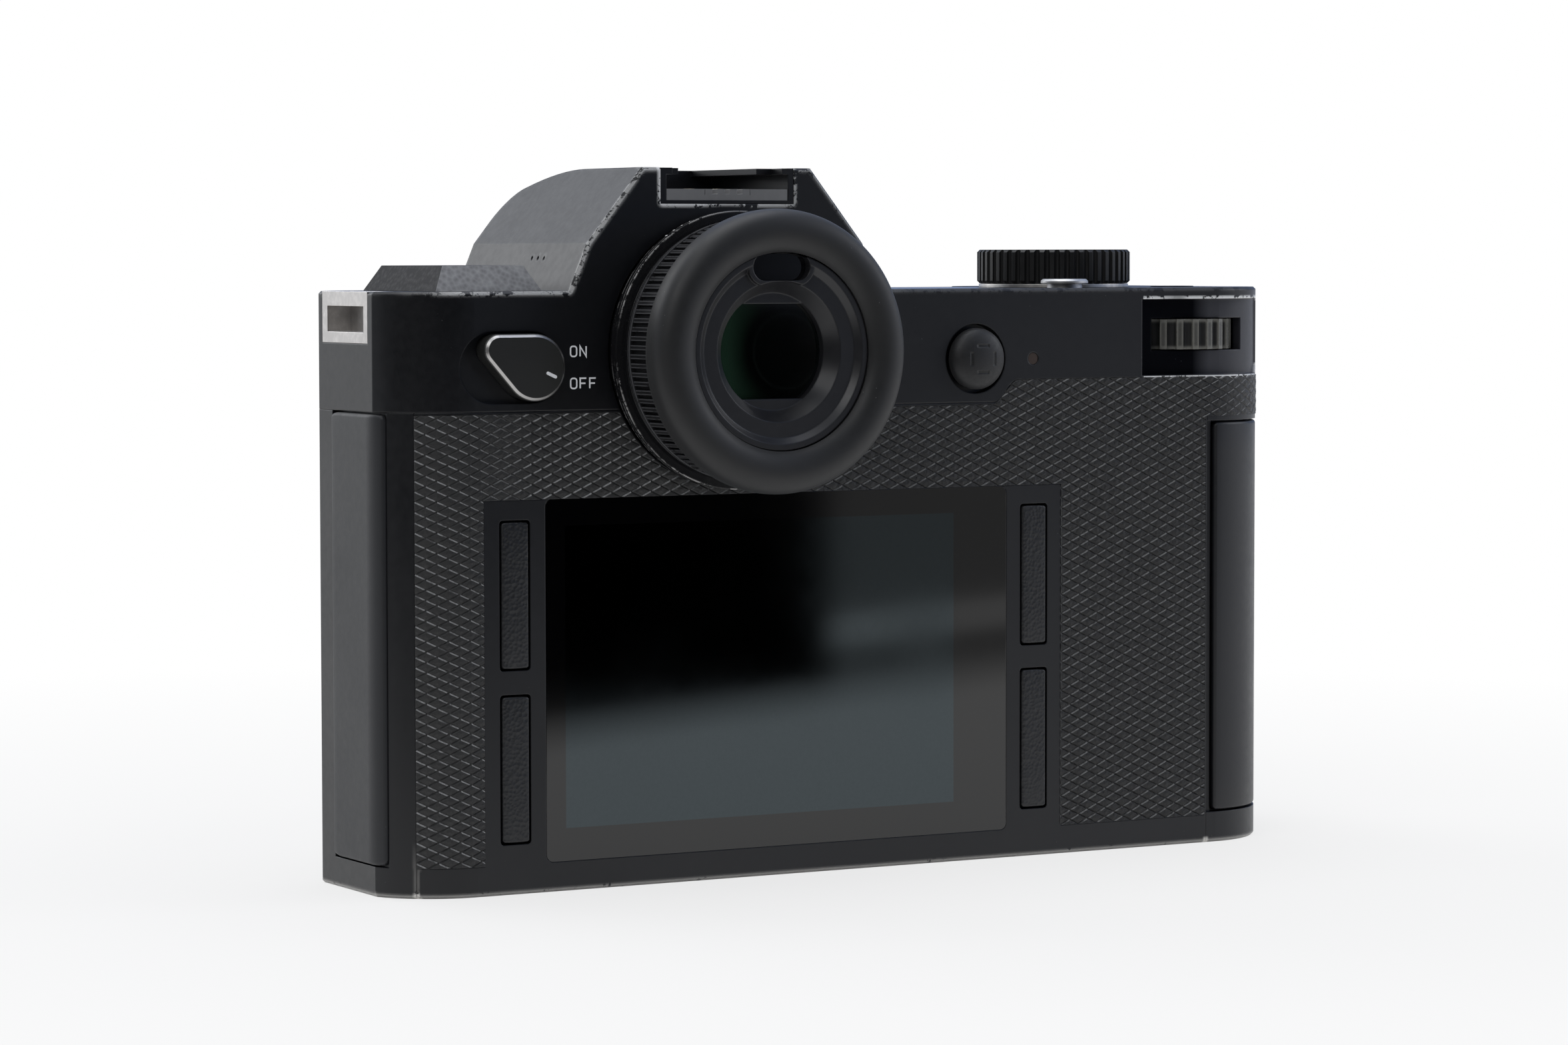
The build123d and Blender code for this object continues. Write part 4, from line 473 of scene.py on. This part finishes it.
def antenna_look():
    """Radio cover of one plastic: smooth dark sides, and grained slopes to the front and back
    that are painted paler, as painted light from above.
    """
    look = Look("antenna_plastic", Specular_IOR_Level=0.45)
    slope_grain_and_painted_light = look.span(look.math("ABSOLUTE", look.facing()[1]), 0.5, 0.6)
    grain = look.cells(1500.0)
    dark = look.mix(grain, (0.010, 0.010, 0.012), (0.014, 0.014, 0.016))
    # Painted light: the slopes take a paler colour than the sides.
    painted_highlight_colour = look.mix(grain, (0.19, 0.19, 0.20), (0.36, 0.365, 0.38))
    look.set("Base Color", look.mix(slope_grain_and_painted_light, dark, painted_highlight_colour))
    look.set("Roughness", look.math("ADD", look.span(grain, 0.1, 0.7, 0.62, 0.74),
                                   look.times(slope_grain_and_painted_light, -0.1)))
    look.set("Normal", look.bump(look.times(grain, slope_grain_and_painted_light), 0.6, 0.03, look.soft_edge(0.1)))
    return look.mat


def sensor_look():
    """Image sensor under its filter: violet sheen over a fine grid."""
    look = Look("image_sensor", Coat_Weight=0.8, Coat_Roughness=0.03)
    sweep = look.noise(45.0, 1.0)
    tone = look.mix(sweep, (0.030, 0.012, 0.040), (0.010, 0.030, 0.034))
    grid = look.span(look.cells(5200.0), 0.1, 0.6, 0.75, 1.0)
    look.set("Base Color", look.mix(grid, (0.008, 0.008, 0.010), tone))
    look.set("Roughness", look.span(sweep, 0.3, 0.7, 0.12, 0.2))
    return look.mat


def contact_look():
    """Gold pins standing out of a dark insulating block."""
    look = Look("contact_block")
    pins = look.over(look.axes()[1], (19.3, 19.5))
    speck = look.noise(1500.0, 3.0)
    gilt = look.mix(speck, (0.6, 0.42, 0.16), (0.82, 0.62, 0.28))
    look.set("Base Color", look.mix(pins, look.mix(speck, (0.01,) * 3, (0.02,) * 3), gilt))
    look.set("Metallic", pins)
    look.set("Roughness", look.span(speck, 0.3, 0.7, 0.25, 0.4))
    return look.mat


def paint_look():
    """White paint for the marks, a little worn."""
    look = Look("mark_paint")
    worn = look.noise(2600.0, 4.0, 0.7)
    look.set("Base Color", look.mix(look.span(worn, 0.55, 0.75, 0.0, 0.4),
                                    (0.92, 0.92, 0.93), (0.50, 0.50, 0.51)))
    look.set("Roughness", look.span(worn, 0.3, 0.7, 0.45, 0.6))
    look.set("Normal", look.bump(worn, 0.3, 0.003))
    return look.mat


leather = covering_look()
paint = paint_look()

dressing = {
    leather: ["rear_covering", "front_covering"],
    metal_top: ["top_cover"],
    metal_body: ["body_shell", "rear_cover"],
    metal_small: ["shutter_collar", "shutter_button", "front_button", "hot_shoe_rail",
                  "lens_release_button", "battery_latch", "play_button"],
    dial_metal: ["top_dial"],
    ring_steel: ["top_dial_ring"],
    drum_metal: ["eyepiece_drum"],
    rib_rubber: ["diopter_ring"],
    cup_rubber: ["eyecup"],
    satin: ["eyepiece_bezel", "screen_panel", "sensor_holder"],
    shoe_plastic: ["hot_shoe_insert"],
    plastic: ["card_bay", "finder_tube", "thumb_carriage",
              "joystick_carrier", "card_door_slider", "hdmi_port", "usb_port",
              "audio_jacks"],
    lens_look(): ["eyepiece_lens"],
    dark_glass: ["eye_sensor_window", "top_display"],
    screen_look(): ["screen_glass"],
    lamp_glass: ["status_lamp"],
    antenna_look(): ["antenna_cover"],
    bar_plastic: ["screen_button_upper_left", "screen_button_lower_left",
                  "screen_button_upper_right", "screen_button_lower_right"],
    lever_look(): ["power_lever"],
    stick_look(): ["joystick_cap"],
    wheel_skin: ["thumb_wheel"],
    bare: ["strap_lug_left", "strap_lug_right", "tripod_bush", "joystick_gimbal",
           "lens_lock_pin"],
    silver: ["menu_button"],
    chrome: ["lens_mount_ring", "mount_screws"],
    gold: ["hot_shoe_contacts"],
    contact_look(): ["contact_block"],
    flap_skin: ["terminal_cover"],
    door_skin: ["card_door"],
    shell: ["battery"],
    cast: ["chassis"],
    shutter_black: ["shutter_frame", "shutter_curtain_upper",
                    "shutter_curtain_lower"],
    sensor_look(): ["image_sensor"],
}
for look, names in dressing.items():
    for name in names:
        for place in nodes[name].material_slots:
            place.material = look


# Mesh tools

weld_reach, cut_reach = 1e-4, 1e-5


def new_object(name, data):
    thing = bpy.data.objects.new(name, data)
    bpy.context.scene.collection.objects.link(thing)
    return thing


def mesh_object(name, build, weld=False):
    """A new object whose mesh is filled by build(bmesh) in millimetres."""
    mesh = bpy.data.meshes.new(name)
    made = bmesh.new()
    build(made)
    if weld:
        bmesh.ops.remove_doubles(made, verts=made.verts, dist=weld_reach)
    bmesh.ops.recalc_face_normals(made, faces=made.faces)
    bmesh.ops.scale(made, vec=(mm, mm, mm), verts=made.verts)
    made.to_mesh(mesh)
    made.free()
    return new_object(name, mesh)


def piece(name, build, material, body):
    """A new mesh piece of the camera, which rides on a body and has a slot."""
    thing = mesh_object(name, build, weld=True)
    thing.data.materials.append(material)
    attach(thing, body)
    return thing


def cut(thing, tool, operation):
    """Cuts thing with a closed tool mesh and deletes the tool."""
    step = thing.modifiers.new("cut", "BOOLEAN")
    step.operation = operation
    step.solver = "EXACT"
    step.object = tool
    bpy.context.view_layer.update()
    graph = bpy.context.evaluated_depsgraph_get()
    mesh = bpy.data.meshes.new_from_object(thing.evaluated_get(graph))
    thing.modifiers.remove(step)
    old = thing.data
    thing.data = mesh
    bpy.data.meshes.remove(old)
    bpy.data.objects.remove(tool)


# Leather


class Round:
    """The body's outline seen from above; a place along it equals X on the back.

    Each step is a straight line (from, to) or an arc (centre, radius, turn, turn)
    with its turns in degrees.
    """

    def __init__(self, start, steps):
        self.steps = []
        for step in steps:
            if len(step) == 2:
                length = (Vector(step[1]) - Vector(step[0])).length
            else:
                length = abs(math.radians(step[3] - step[2])) * step[1]
            self.steps.append((start, start + length, step))
            start += length

    def at(self, u, lift):
        """The point at u along the outline, lifted outwards."""
        for low, high, step in self.steps:
            if u <= high:
                break
        share = (u - low) / (high - low)
        if len(step) == 2:
            a, b = Vector(step[0]), Vector(step[1])
            way = (b - a).normalized()
            return a + (b - a) * share + Vector((way.y, -way.x)) * lift
        centre, radius, turn0, turn1 = step
        turn = math.radians(turn0 + (turn1 - turn0) * share)
        reach = radius + (lift if turn1 > turn0 else -lift)
        return Vector(centre) + Vector((math.cos(turn), math.sin(turn))) * reach


around_start = -72.25
around = Round(around_start, [
    ((end_left, end_half), (end_left, -end_half)),
    ((corner_left, -corner_y), corner_radius, 270 - corner_turn, 270),
    ((corner_left, back_y), (corner_right, back_y)),
    ((corner_right, -corner_y), corner_radius, 270, 270 + corner_turn),
    ((end_right, -end_half), (end_right, end_half)),
    ((corner_right, corner_y), corner_radius, *grip_turns),
    ((grip_side, grip_side_y), (grip_side, grip_corner_y)),
    ((grip_corner_right, grip_corner_y), grip_radius, 0, 90),
    ((grip_corner_right, grip_front), (grip_corner_left, grip_front)),
    ((grip_corner_left, grip_corner_y), grip_radius, 90, 180),
    ((grip_left, grip_corner_y), (grip_left, root_y)),
    ((root_x, root_y), root_radius, 360, 270),
    ((root_x, front_y), (corner_left, front_y)),
    ((corner_left, corner_y), corner_radius, 90, 90 + corner_turn),
])
grip_turn_step, front_step, last_step = 5, 12, 13
front_start = around.steps[front_step][0]


def wrap(made):
    """Lays a flat shape in X, height and Z round the body's outline."""
    for vert in made.verts:
        spot = around.at(vert.co.x, -vert.co.y)
        vert.co.x, vert.co.y = spot


def diamond_sheet(made, area, shares, heights):
    """Raised diamonds, flat, with height towards -Y, closed by a flat underside."""
    u0, u1, z0, z1 = area
    verts = {}
    cells = len(shares) - 1

    def point(a, b, i, j):
        key = (a * cells + i, b * cells + j)
        if key not in verts:
            s, t = a + shares[i], b + shares[j]
            verts[key] = made.verts.new(((s - t) * diamond_u / 2, -min(heights[i], heights[j]),
                                         (s + t) * diamond_z / 2))
        return verts[key]

    reach = int(max(abs(u0), abs(u1)) / diamond_u + max(abs(z0), abs(z1)) / diamond_z) + 3
    for a in range(-reach, reach):
        for b in range(-reach, reach):
            u = (a - b) * diamond_u / 2
            z = (a + b + 1) * diamond_z / 2
            if not (u0 < u < u1 and z0 < z < z1):
                continue
            for i in range(cells):
                for j in range(cells):
                    made.faces.new((point(a, b, i, j), point(a, b, i + 1, j),
                                    point(a, b, i + 1, j + 1), point(a, b, i, j + 1)))
    rim = [edge for edge in made.edges if edge.is_boundary]
    walls = bmesh.ops.extrude_edge_only(made, edges=rim)["geom"]
    for vert in walls:
        if isinstance(vert, bmesh.types.BMVert):
            vert.co.y = underside
    bmesh.ops.contextual_create(made, geom=[e for e in made.edges if e.is_boundary])


def prism(made, points, y0=-5.0, y1=5.0):
    """A closed prism along Y over an outline in X and Z."""
    rings = [[made.verts.new((x, y, z)) for x, z in points] for y in (y0, y1)]
    for k in range(len(points)):
        n = (k + 1) % len(points)
        made.faces.new((rings[0][k], rings[0][n], rings[1][n], rings[1][k]))
    made.faces.new(rings[0])
    made.faces.new(rings[1])


def arc(x, z, radius, start, turns, count):
    """Points of an arc that goes on from start by turns degrees in count steps."""
    angles = [math.radians(start + turns * k / count) for k in range(count + 1)]
    return [(x + radius * math.cos(turn), z + radius * math.sin(turn)) for turn in angles]


def circle(x, z, radius, count=96):
    return arc(x, z, radius, 0, 360, count)[:-1]


def under_faces(made):
    """The faces of a flat sheet's underside."""
    return [face for face in made.faces
            if face.normal.y > 0.9 and face.calc_center_median().y > underside - 0.05]


def bend_places():
    """Places along the outline where a flat underside needs an edge to follow an arc."""
    for low, high, step in around.steps:
        if len(step) > 2:
            count = max(2, int((high - low) / bend_pitch))
            for k in range(count + 1):
                yield low + (high - low) * k / count


def leather_piece(name, node, area, shares, heights, outline, holes):
    """A sheet of diamonds cut to an outline with holes, then laid round the body."""
    thing = piece(name, lambda made: diamond_sheet(made, area, shares, heights), leather,
                  "camera")
    cut(thing, mesh_object("outline", lambda made: prism(made, outline)), "INTERSECT")
    for hole in holes:
        cut(thing, mesh_object("hole", lambda made: prism(made, hole)), "DIFFERENCE")
    made = bmesh.new()
    made.from_mesh(thing.data)
    bmesh.ops.scale(made, vec=(1 / mm,) * 3, verts=made.verts)
    for u in bend_places():
        if area[0] < u < area[1]:
            under = under_faces(made)
            parts = dict.fromkeys(under)
            parts.update(dict.fromkeys(edge for face in under for edge in face.edges))
            parts.update(dict.fromkeys(vert for face in under for vert in face.verts))
            bmesh.ops.bisect_plane(made, geom=list(parts), dist=cut_reach,
                                   plane_co=(u, 0, 0), plane_no=(1, 0, 0))
    wrap(made)
    bmesh.ops.recalc_face_normals(made, faces=made.faces)
    bmesh.ops.scale(made, vec=(mm,) * 3, verts=made.verts)
    made.to_mesh(thing.data)
    made.free()
    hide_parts(node)
    return thing


cover_out = 0.1
plain_lift = 0.03
rim_share = 1 - groove_share
fine_shares = (0.0, groove_share, 0.5, rim_share, 1.0)
fine_heights = tuple(cover_out + h for h in (-groove_depth, 0.0, crown_lift, 0.0, -groove_depth))
plain_shares = (0.0, groove_share, rim_share, 1.0)
plain_heights = tuple(cover_out + h
                      for h in (-groove_depth, plain_lift, plain_lift, -groove_depth))

panel_left, panel_right, glass_top = -38.35, 55.75, 54.6
step_low, step_high, cover_high = 43.6, 48.6, 70.0
slope_low, slope_high = 104.0, 100.5
step_parts = 8
eye_hole = 19.25
rear_outline = [(cover_left, cover_top), (cover_left, cover_low), (panel_left, cover_low),
                (panel_left, glass_top), (panel_right, glass_top), (panel_right, cover_low),
                (cover_right, cover_low), (cover_right, door_top), (cover_round_end, door_top),
                (cover_round_end, cover_top), (slope_low, cover_top),
                (slope_high, cover_high), (step_high, cover_high)]
for k in range(1, step_parts + 1):
    swing = 0.5 + 0.5 * math.cos(math.pi * k / step_parts)
    rear_outline.append((step_high - (step_high - step_low) * k / step_parts,
                         cover_top + (cover_high - cover_top) * swing))
leather_piece("rear_leather", "rear_covering", rear_sheet, fine_shares, fine_heights,
              rear_outline, [circle(0, eye_z, eye_hole)])

after_grip_turn, round_the_end = 0.7, 8.6
front_from = around.steps[grip_turn_step][0] + after_grip_turn
front_to = around.steps[last_step][0] + round_the_end
front_outline = [(front_from, cover_low), (front_to, cover_low), (front_to, cover_top),
                 (front_from, cover_top)]
lens_hole = (0, 41.5, 34.8)
release_hole = (40.5, 29.0, 5.3)
button_hole = (40.5, 55.0, 3.6)
hole_points = 128
front_holes = [circle(front_start + root_x - x, z, r, hole_points)
               for x, z, r in (lens_hole, release_hole, button_hole)]
front_sheet = (front_from - front_spare, front_to + front_spare, *front_sheet_z)
leather_piece("front_leather", "front_covering", front_sheet, plain_shares, plain_heights,
              front_outline, front_holes)


# Soft pads

rim_parts = 6
pad_pitch_u, pad_pitch_z = 1.0, 4.0
thinnest = 0.05


def pad(name, node, body, material, area, radius, top, rim, floor):
    """A plate with rounded corners and edges, laid round the body's outline."""
    u0, u1, z0, z1 = area

    def steps(low, high, pitch):
        count = max(4, int((high - low - 2 * rim) / pitch))
        out = [rim * (1 - math.cos(math.pi / 2 * k / rim_parts)) for k in range(rim_parts)]
        middle = [rim + (high - low - 2 * rim) * k / count for k in range(count + 1)]
        return [low + d for d in out + middle] + [high - d for d in reversed(out)]

    def build(made):
        us = steps(u0, u1, pad_pitch_u)
        shares = [(z - z0) / (z1 - z0) for z in steps(z0, z1, pad_pitch_z)]
        tops, lows = [], []
        for u in us:
            near = min(u - u0, u1 - u)
            inset = radius - math.sqrt(max(0.0, radius ** 2 - max(0.0, radius - near) ** 2))
            column = []
            for share in shares:
                z = z0 + inset + (z1 - z0 - 2 * inset) * share
                d = min(near, z - z0 - inset, z1 - inset - z)
                d = min(1.0, d / rim)
                lift = top - rim * (1 - math.sqrt(max(0.0, 1 - (1 - d) ** 2)))
                column.append((u, z, max(lift, floor + thinnest)))
            tops.append([made.verts.new((u, -h, z)) for u, z, h in column])
            lows.append([made.verts.new((u, -floor, z)) for u, z, h in column])
        wide, high = len(us), len(shares)
        for grid in (tops, lows):
            for i in range(wide - 1):
                for j in range(high - 1):
                    made.faces.new((grid[i][j], grid[i + 1][j], grid[i + 1][j + 1],
                                    grid[i][j + 1]))
        border = [(i, 0) for i in range(wide)] + [(wide - 1, j) for j in range(1, high)]
        border += [(i, high - 1) for i in range(wide - 2, -1, -1)]
        border += [(0, j) for j in range(high - 2, 0, -1)]
        for k in range(len(border)):
            (a, b), (c, d) = border[k], border[(k + 1) % len(border)]
            made.faces.new((tops[a][b], tops[c][d], lows[c][d], lows[a][b]))
        wrap(made)

    thing = piece(name, build, material, body)
    for face in thing.data.polygons:
        face.use_smooth = True
    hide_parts(node)
    return thing


flap_area = (-67.6, -52.25, 4.4, 66.55)
door_area = (83.1, 114.9, 4.75, 63.2)
pad("terminal_flap", "terminal_cover", "terminal_cover", flap_skin,
    flap_area, radius=1.1, top=0.4, rim=0.55, floor=-1.05)
pad("card_door_plate", "card_door", "card_door", door_skin,
    door_area, radius=0.8, top=0.0, rim=0.5, floor=-1.5)
key_half_width, key_half_height = 2.05, 10.1
key_sides = (("left", -33.6), ("right", 51.0))
key_levels = (("upper", 41.45), ("lower", 17.35))
for side, u in key_sides:
    for level, z in key_levels:
        key_area = (u - key_half_width, u + key_half_width,
                    z - key_half_height, z + key_half_height)
        pad("bar_key_" + level + "_" + side, "screen_button_" + level + "_" + side,
            "button_" + level + "_" + side, bar_plastic,
            key_area, radius=0.5, top=0.2, rim=0.3, floor=-1.9)


# Marks

mitre_limit = 0.35


def ribbon(made, points, width, y0, y1, closed=False):
    """A flat stroke along points in X and Z, with mitred corners, y0 to y1 thick."""
    flat = [Vector(p) for p in points]
    count = len(flat)
    sides = []
    for k in range(count):
        before = flat[k - 1] if k > 0 or closed else None
        after = flat[(k + 1) % count] if k < count - 1 or closed else None
        ways = []
        if before is not None:
            ways.append((flat[k] - before).normalized())
        if after is not None:
            ways.append((after - flat[k]).normalized())
        along = sum(ways, Vector((0, 0))).normalized()
        out = Vector((-along.y, along.x))
        reach = width / 2 / max(mitre_limit, out.dot(Vector((-ways[0].y, ways[0].x))))
        sides.append((flat[k] + out * reach, flat[k] - out * reach))
    rings = [[made.verts.new((p.x, y, p.y)) for p in pair for y in (y0, y1)] for pair in sides]
    for k in range(count if closed else count - 1):
        a, b = rings[k], rings[(k + 1) % count]
        for i, j in ((0, 1), (1, 3), (3, 2), (2, 0)):
            made.faces.new((a[i], a[j], b[j], b[i]))
    if not closed:
        for ring in (rings[0], rings[-1]):
            made.faces.new((ring[0], ring[1], ring[3], ring[2]))


stroke = 0.22
letter_gap = 0.32
letter_wide = 1.16
letter_high = 1.62
letter_round = 0.36
letters_x, on_z, off_z = -24.98, 74.17, 69.74
mark_sunk, mark_proud = 0.01, 0.02


def letter_o(w, h):
    """A letter's strokes in a box w wide and h high: middle lines, and if they close."""
    r = letter_round
    corners = ((w - r, h - r, 0), (r, h - r, 90), (r, r, 180), (w - r, r, 270))
    return [(sum((arc(x, z, r, start, 90, 5) for x, z, start in corners), []), True)]


def letter_n(w, h):
    return [([(0, 0), (0, h), (w, 0), (w, h)], False)]


def letter_f(w, h):
    return [([(w, h), (0, h), (0, 0)], False),
            ([(stroke / 2, h * 0.5), (w * 0.86, h * 0.5)], False)]


def write(made, letters, x, z):
    w = letter_wide - stroke
    h = letter_high - stroke
    for letter in letters:
        for points, closed in letter(w, h):
            moved = [(x + stroke / 2 + px, z + stroke / 2 + pz) for px, pz in points]
            ribbon(made, moved, stroke, back_y + mark_sunk, back_y - mark_proud, closed)
        x += letter_wide + letter_gap


def on_off(made):
    """The two words beside the power lever."""
    write(made, (letter_o, letter_n), letters_x, on_z)
    write(made, (letter_o, letter_f, letter_f), letters_x, off_z)


piece("switch_lettering", on_off, paint, "camera")

drum_radius = 19.33
tick_start = 33.8
tick_pitch = 4.2
tick_count = 17
tick_width = 0.26
tick_long, tick_short = 1.1, 0.72
long_every = 5
tick_y = back_y - 1.56


def ticks(made):
    """The focus scale round the eyepiece drum, with every fifth tick long."""
    for k in range(tick_count):
        turn = math.radians(tick_start - tick_pitch * k)
        length = tick_short if k % long_every else tick_long
        out = Vector((-math.sin(turn), 0, math.cos(turn)))
        side = Vector((math.cos(turn), 0, math.sin(turn)))
        foot = Vector((0, 0, eye_z))
        corners = []
        for lift in (-mark_proud, mark_proud):
            for s, y in ((-1, 0), (1, 0), (1, 1), (-1, 1)):
                p = foot + out * (drum_radius + lift) + side * (s * tick_width / 2)
                p.y = tick_y - y * length
                corners.append(made.verts.new(p))
        for face in ((0, 1, 2, 3), (4, 5, 6, 7), (0, 1, 5, 4), (1, 2, 6, 5), (2, 3, 7, 6),
                     (3, 0, 4, 7)):
            made.faces.new([corners[i] for i in face])


piece("focus_ticks", ticks, paint, "camera")

dash_x, dash_z = -28.670, 71.813
dash_turn = math.radians(336)
dash_half, dash_round = 0.65, 0.23
dash_back, dash_front = -18.09, -18.21


def lever_dash(made):
    """The mark on the lever: a short bar with round ends, turned about its middle."""
    flat = (arc(dash_half, 0, dash_round, -90, 180, 6)
            + arc(-dash_half, 0, dash_round, 90, 180, 6))
    across, up = math.cos(dash_turn), math.sin(dash_turn)
    outline = [(dash_x + x * across - z * up, dash_z + x * up + z * across) for x, z in flat]
    prism(made, outline, dash_back, dash_front)


piece("lever_mark", lever_dash, paint, "power_lever")


# Surroundings

floor_half = 6
paper_fades, paper_stops = (0.08, 0.34), (-0.150, -0.206)
strip_middle, strip_sides, right_part = -0.272, (0.040, 0.018), (0.004, 0.012)
camera_place = (-0.3208, -0.5996, 0.0888)
camera_turn, camera_down, camera_roll = -29.49, 3.29, -0.09
camera_lens = 108.44
lamp_aim = (0.02, 0, 0.05)
lamps = (("key", (-0.95, -0.75, 0.95), (0.9, 0.7), 4.0),
         ("fill", (1.25, -0.35, 0.6), (0.6, 0.6), 3.0),
         ("top", (0.05, 0.15, 1.25), (1.0, 1.0), 6.5),
         ("front", (-0.5, 1.1, 0.6), (0.8, 0.8), 4.0))
ahead_light, wall_light, top_light, least_light, diffuse_light = 0.6, 0.42, 0.5, 0.02, 0.24


def make_floor():
    """White paper whose far end melts into the background."""
    mesh = bpy.data.meshes.new("floor")
    corners = ((-1, -1), (1, -1), (1, 1), (-1, 1))
    mesh.from_pydata([(x * floor_half, y * floor_half, 0) for x, y in corners], [],
                     [(0, 1, 2, 3)])
    floor = new_object("floor", mesh)
    look = Look("floor_paper", Roughness=0.85)
    paper = look.noise(900.0, 3.0)
    look.set("Base Color", look.mix(paper, (0.90, 0.90, 0.90), (0.93, 0.93, 0.93)))
    x, y, z = look.axes()
    far = look.span(look.distance(x, y), *paper_fades, 0.72, 1.0)
    ray = look.node("ShaderNodeLightPath").outputs
    seen = look.math("MAXIMUM", ray["Is Camera Ray"], ray["Is Glossy Ray"],
                     ray["Is Transmission Ray"])
    # The screen shows where the paper ends behind the camera, and a paler strip past it.
    edge = look.math("ADD", y, look.times(x, 0.5))
    beside = look.math("ADD", x, look.times(y, 0.576))
    strip = look.math("ABSOLUTE", look.math("SUBTRACT", edge, strip_middle))
    lighter = look.math("ADD", 0.29, look.span(strip, *strip_sides, 0.0, 0.45))
    dim = look.math("SUBTRACT", 1.0, look.times(look.span(beside, *right_part), lighter))
    paper_ends = look.times(look.span(edge, *paper_stops), dim)
    shown = look.math("SUBTRACT", 1.0, look.times(paper_ends, ray["Is Glossy Ray"]))
    glow = look.node("ShaderNodeEmission", Strength=shown, Color=(1, 1, 1, 1))
    blend = look.node("ShaderNodeMixShader", i0=look.times(seen, far),
                      i1=look.shader.outputs[0], i2=glow.outputs[0])
    look.feed(look.tree.nodes["Material Output"].inputs["Surface"], blend.outputs[0])
    mesh.materials.append(look.mat)


def make_room():
    """White where it is the background, a softer room for the light that falls."""
    world = bpy.data.worlds.new("studio")
    bpy.context.scene.world = world
    world.use_nodes = True
    world.node_tree.nodes.clear()
    room = Nodes(world.node_tree, "Generated")
    x, y, z = room.axes()
    ahead = room.span(y, -0.25, 0.35, 0.0, ahead_light)
    backwards = room.math("MAXIMUM", room.times(y, -1.0), 0.02)
    right_wall = room.span(room.math("DIVIDE", x, backwards), 0.55, 0.60, 0.0, wall_light)
    overhead = room.span(z, 0.35, 0.8, 0.0, top_light)
    shown = room.math("MAXIMUM", ahead, right_wall, overhead, least_light)
    ray = room.node("ShaderNodeLightPath").outputs
    gloss = room.math("MAXIMUM", ray["Is Glossy Ray"], ray["Is Transmission Ray"])
    fallen = room.times(diffuse_light, room.math("SUBTRACT", 1.0, gloss))
    level = room.math("MAXIMUM", room.math("ADD", room.times(shown, gloss), fallen),
                      ray["Is Camera Ray"])
    tint = room.mix(ray["Is Camera Ray"], (0.84, 0.90, 1.0), (1.0, 1.0, 1.0))
    tint = room.mix(room.times(right_wall, gloss), tint, (0.0, 0.25, 0.95))
    back = room.node("ShaderNodeBackground", Color=tint, Strength=level)
    room.node("ShaderNodeOutputWorld", Surface=back.outputs[0])


def lamp(name, place, size, power):
    light = bpy.data.lights.new(name, "AREA")
    light.shape = "RECTANGLE"
    light.size, light.size_y = size
    light.energy = power
    thing = new_object(name, light)
    thing.location = place
    way = Vector(lamp_aim) - Vector(place)
    thing.rotation_euler = way.to_track_quat("-Z", "Y").to_euler()


def make_camera():
    data = bpy.data.cameras.new("view")
    data.sensor_width = 36.0
    data.lens = camera_lens
    data.clip_start = 0.01
    thing = new_object("view", data)
    thing.location = camera_place
    turn = (Matrix.Rotation(math.radians(camera_turn), 3, "Z")
            @ Matrix.Rotation(math.radians(90 - camera_down), 3, "X")
            @ Matrix.Rotation(math.radians(camera_roll), 3, "Z"))
    thing.rotation_euler = turn.to_euler()
    bpy.context.scene.camera = thing


make_floor()
make_room()
for name, place, size, power in lamps:
    lamp(name, place, size, power)
make_camera()
bpy.context.scene.view_settings.view_transform = "Standard"
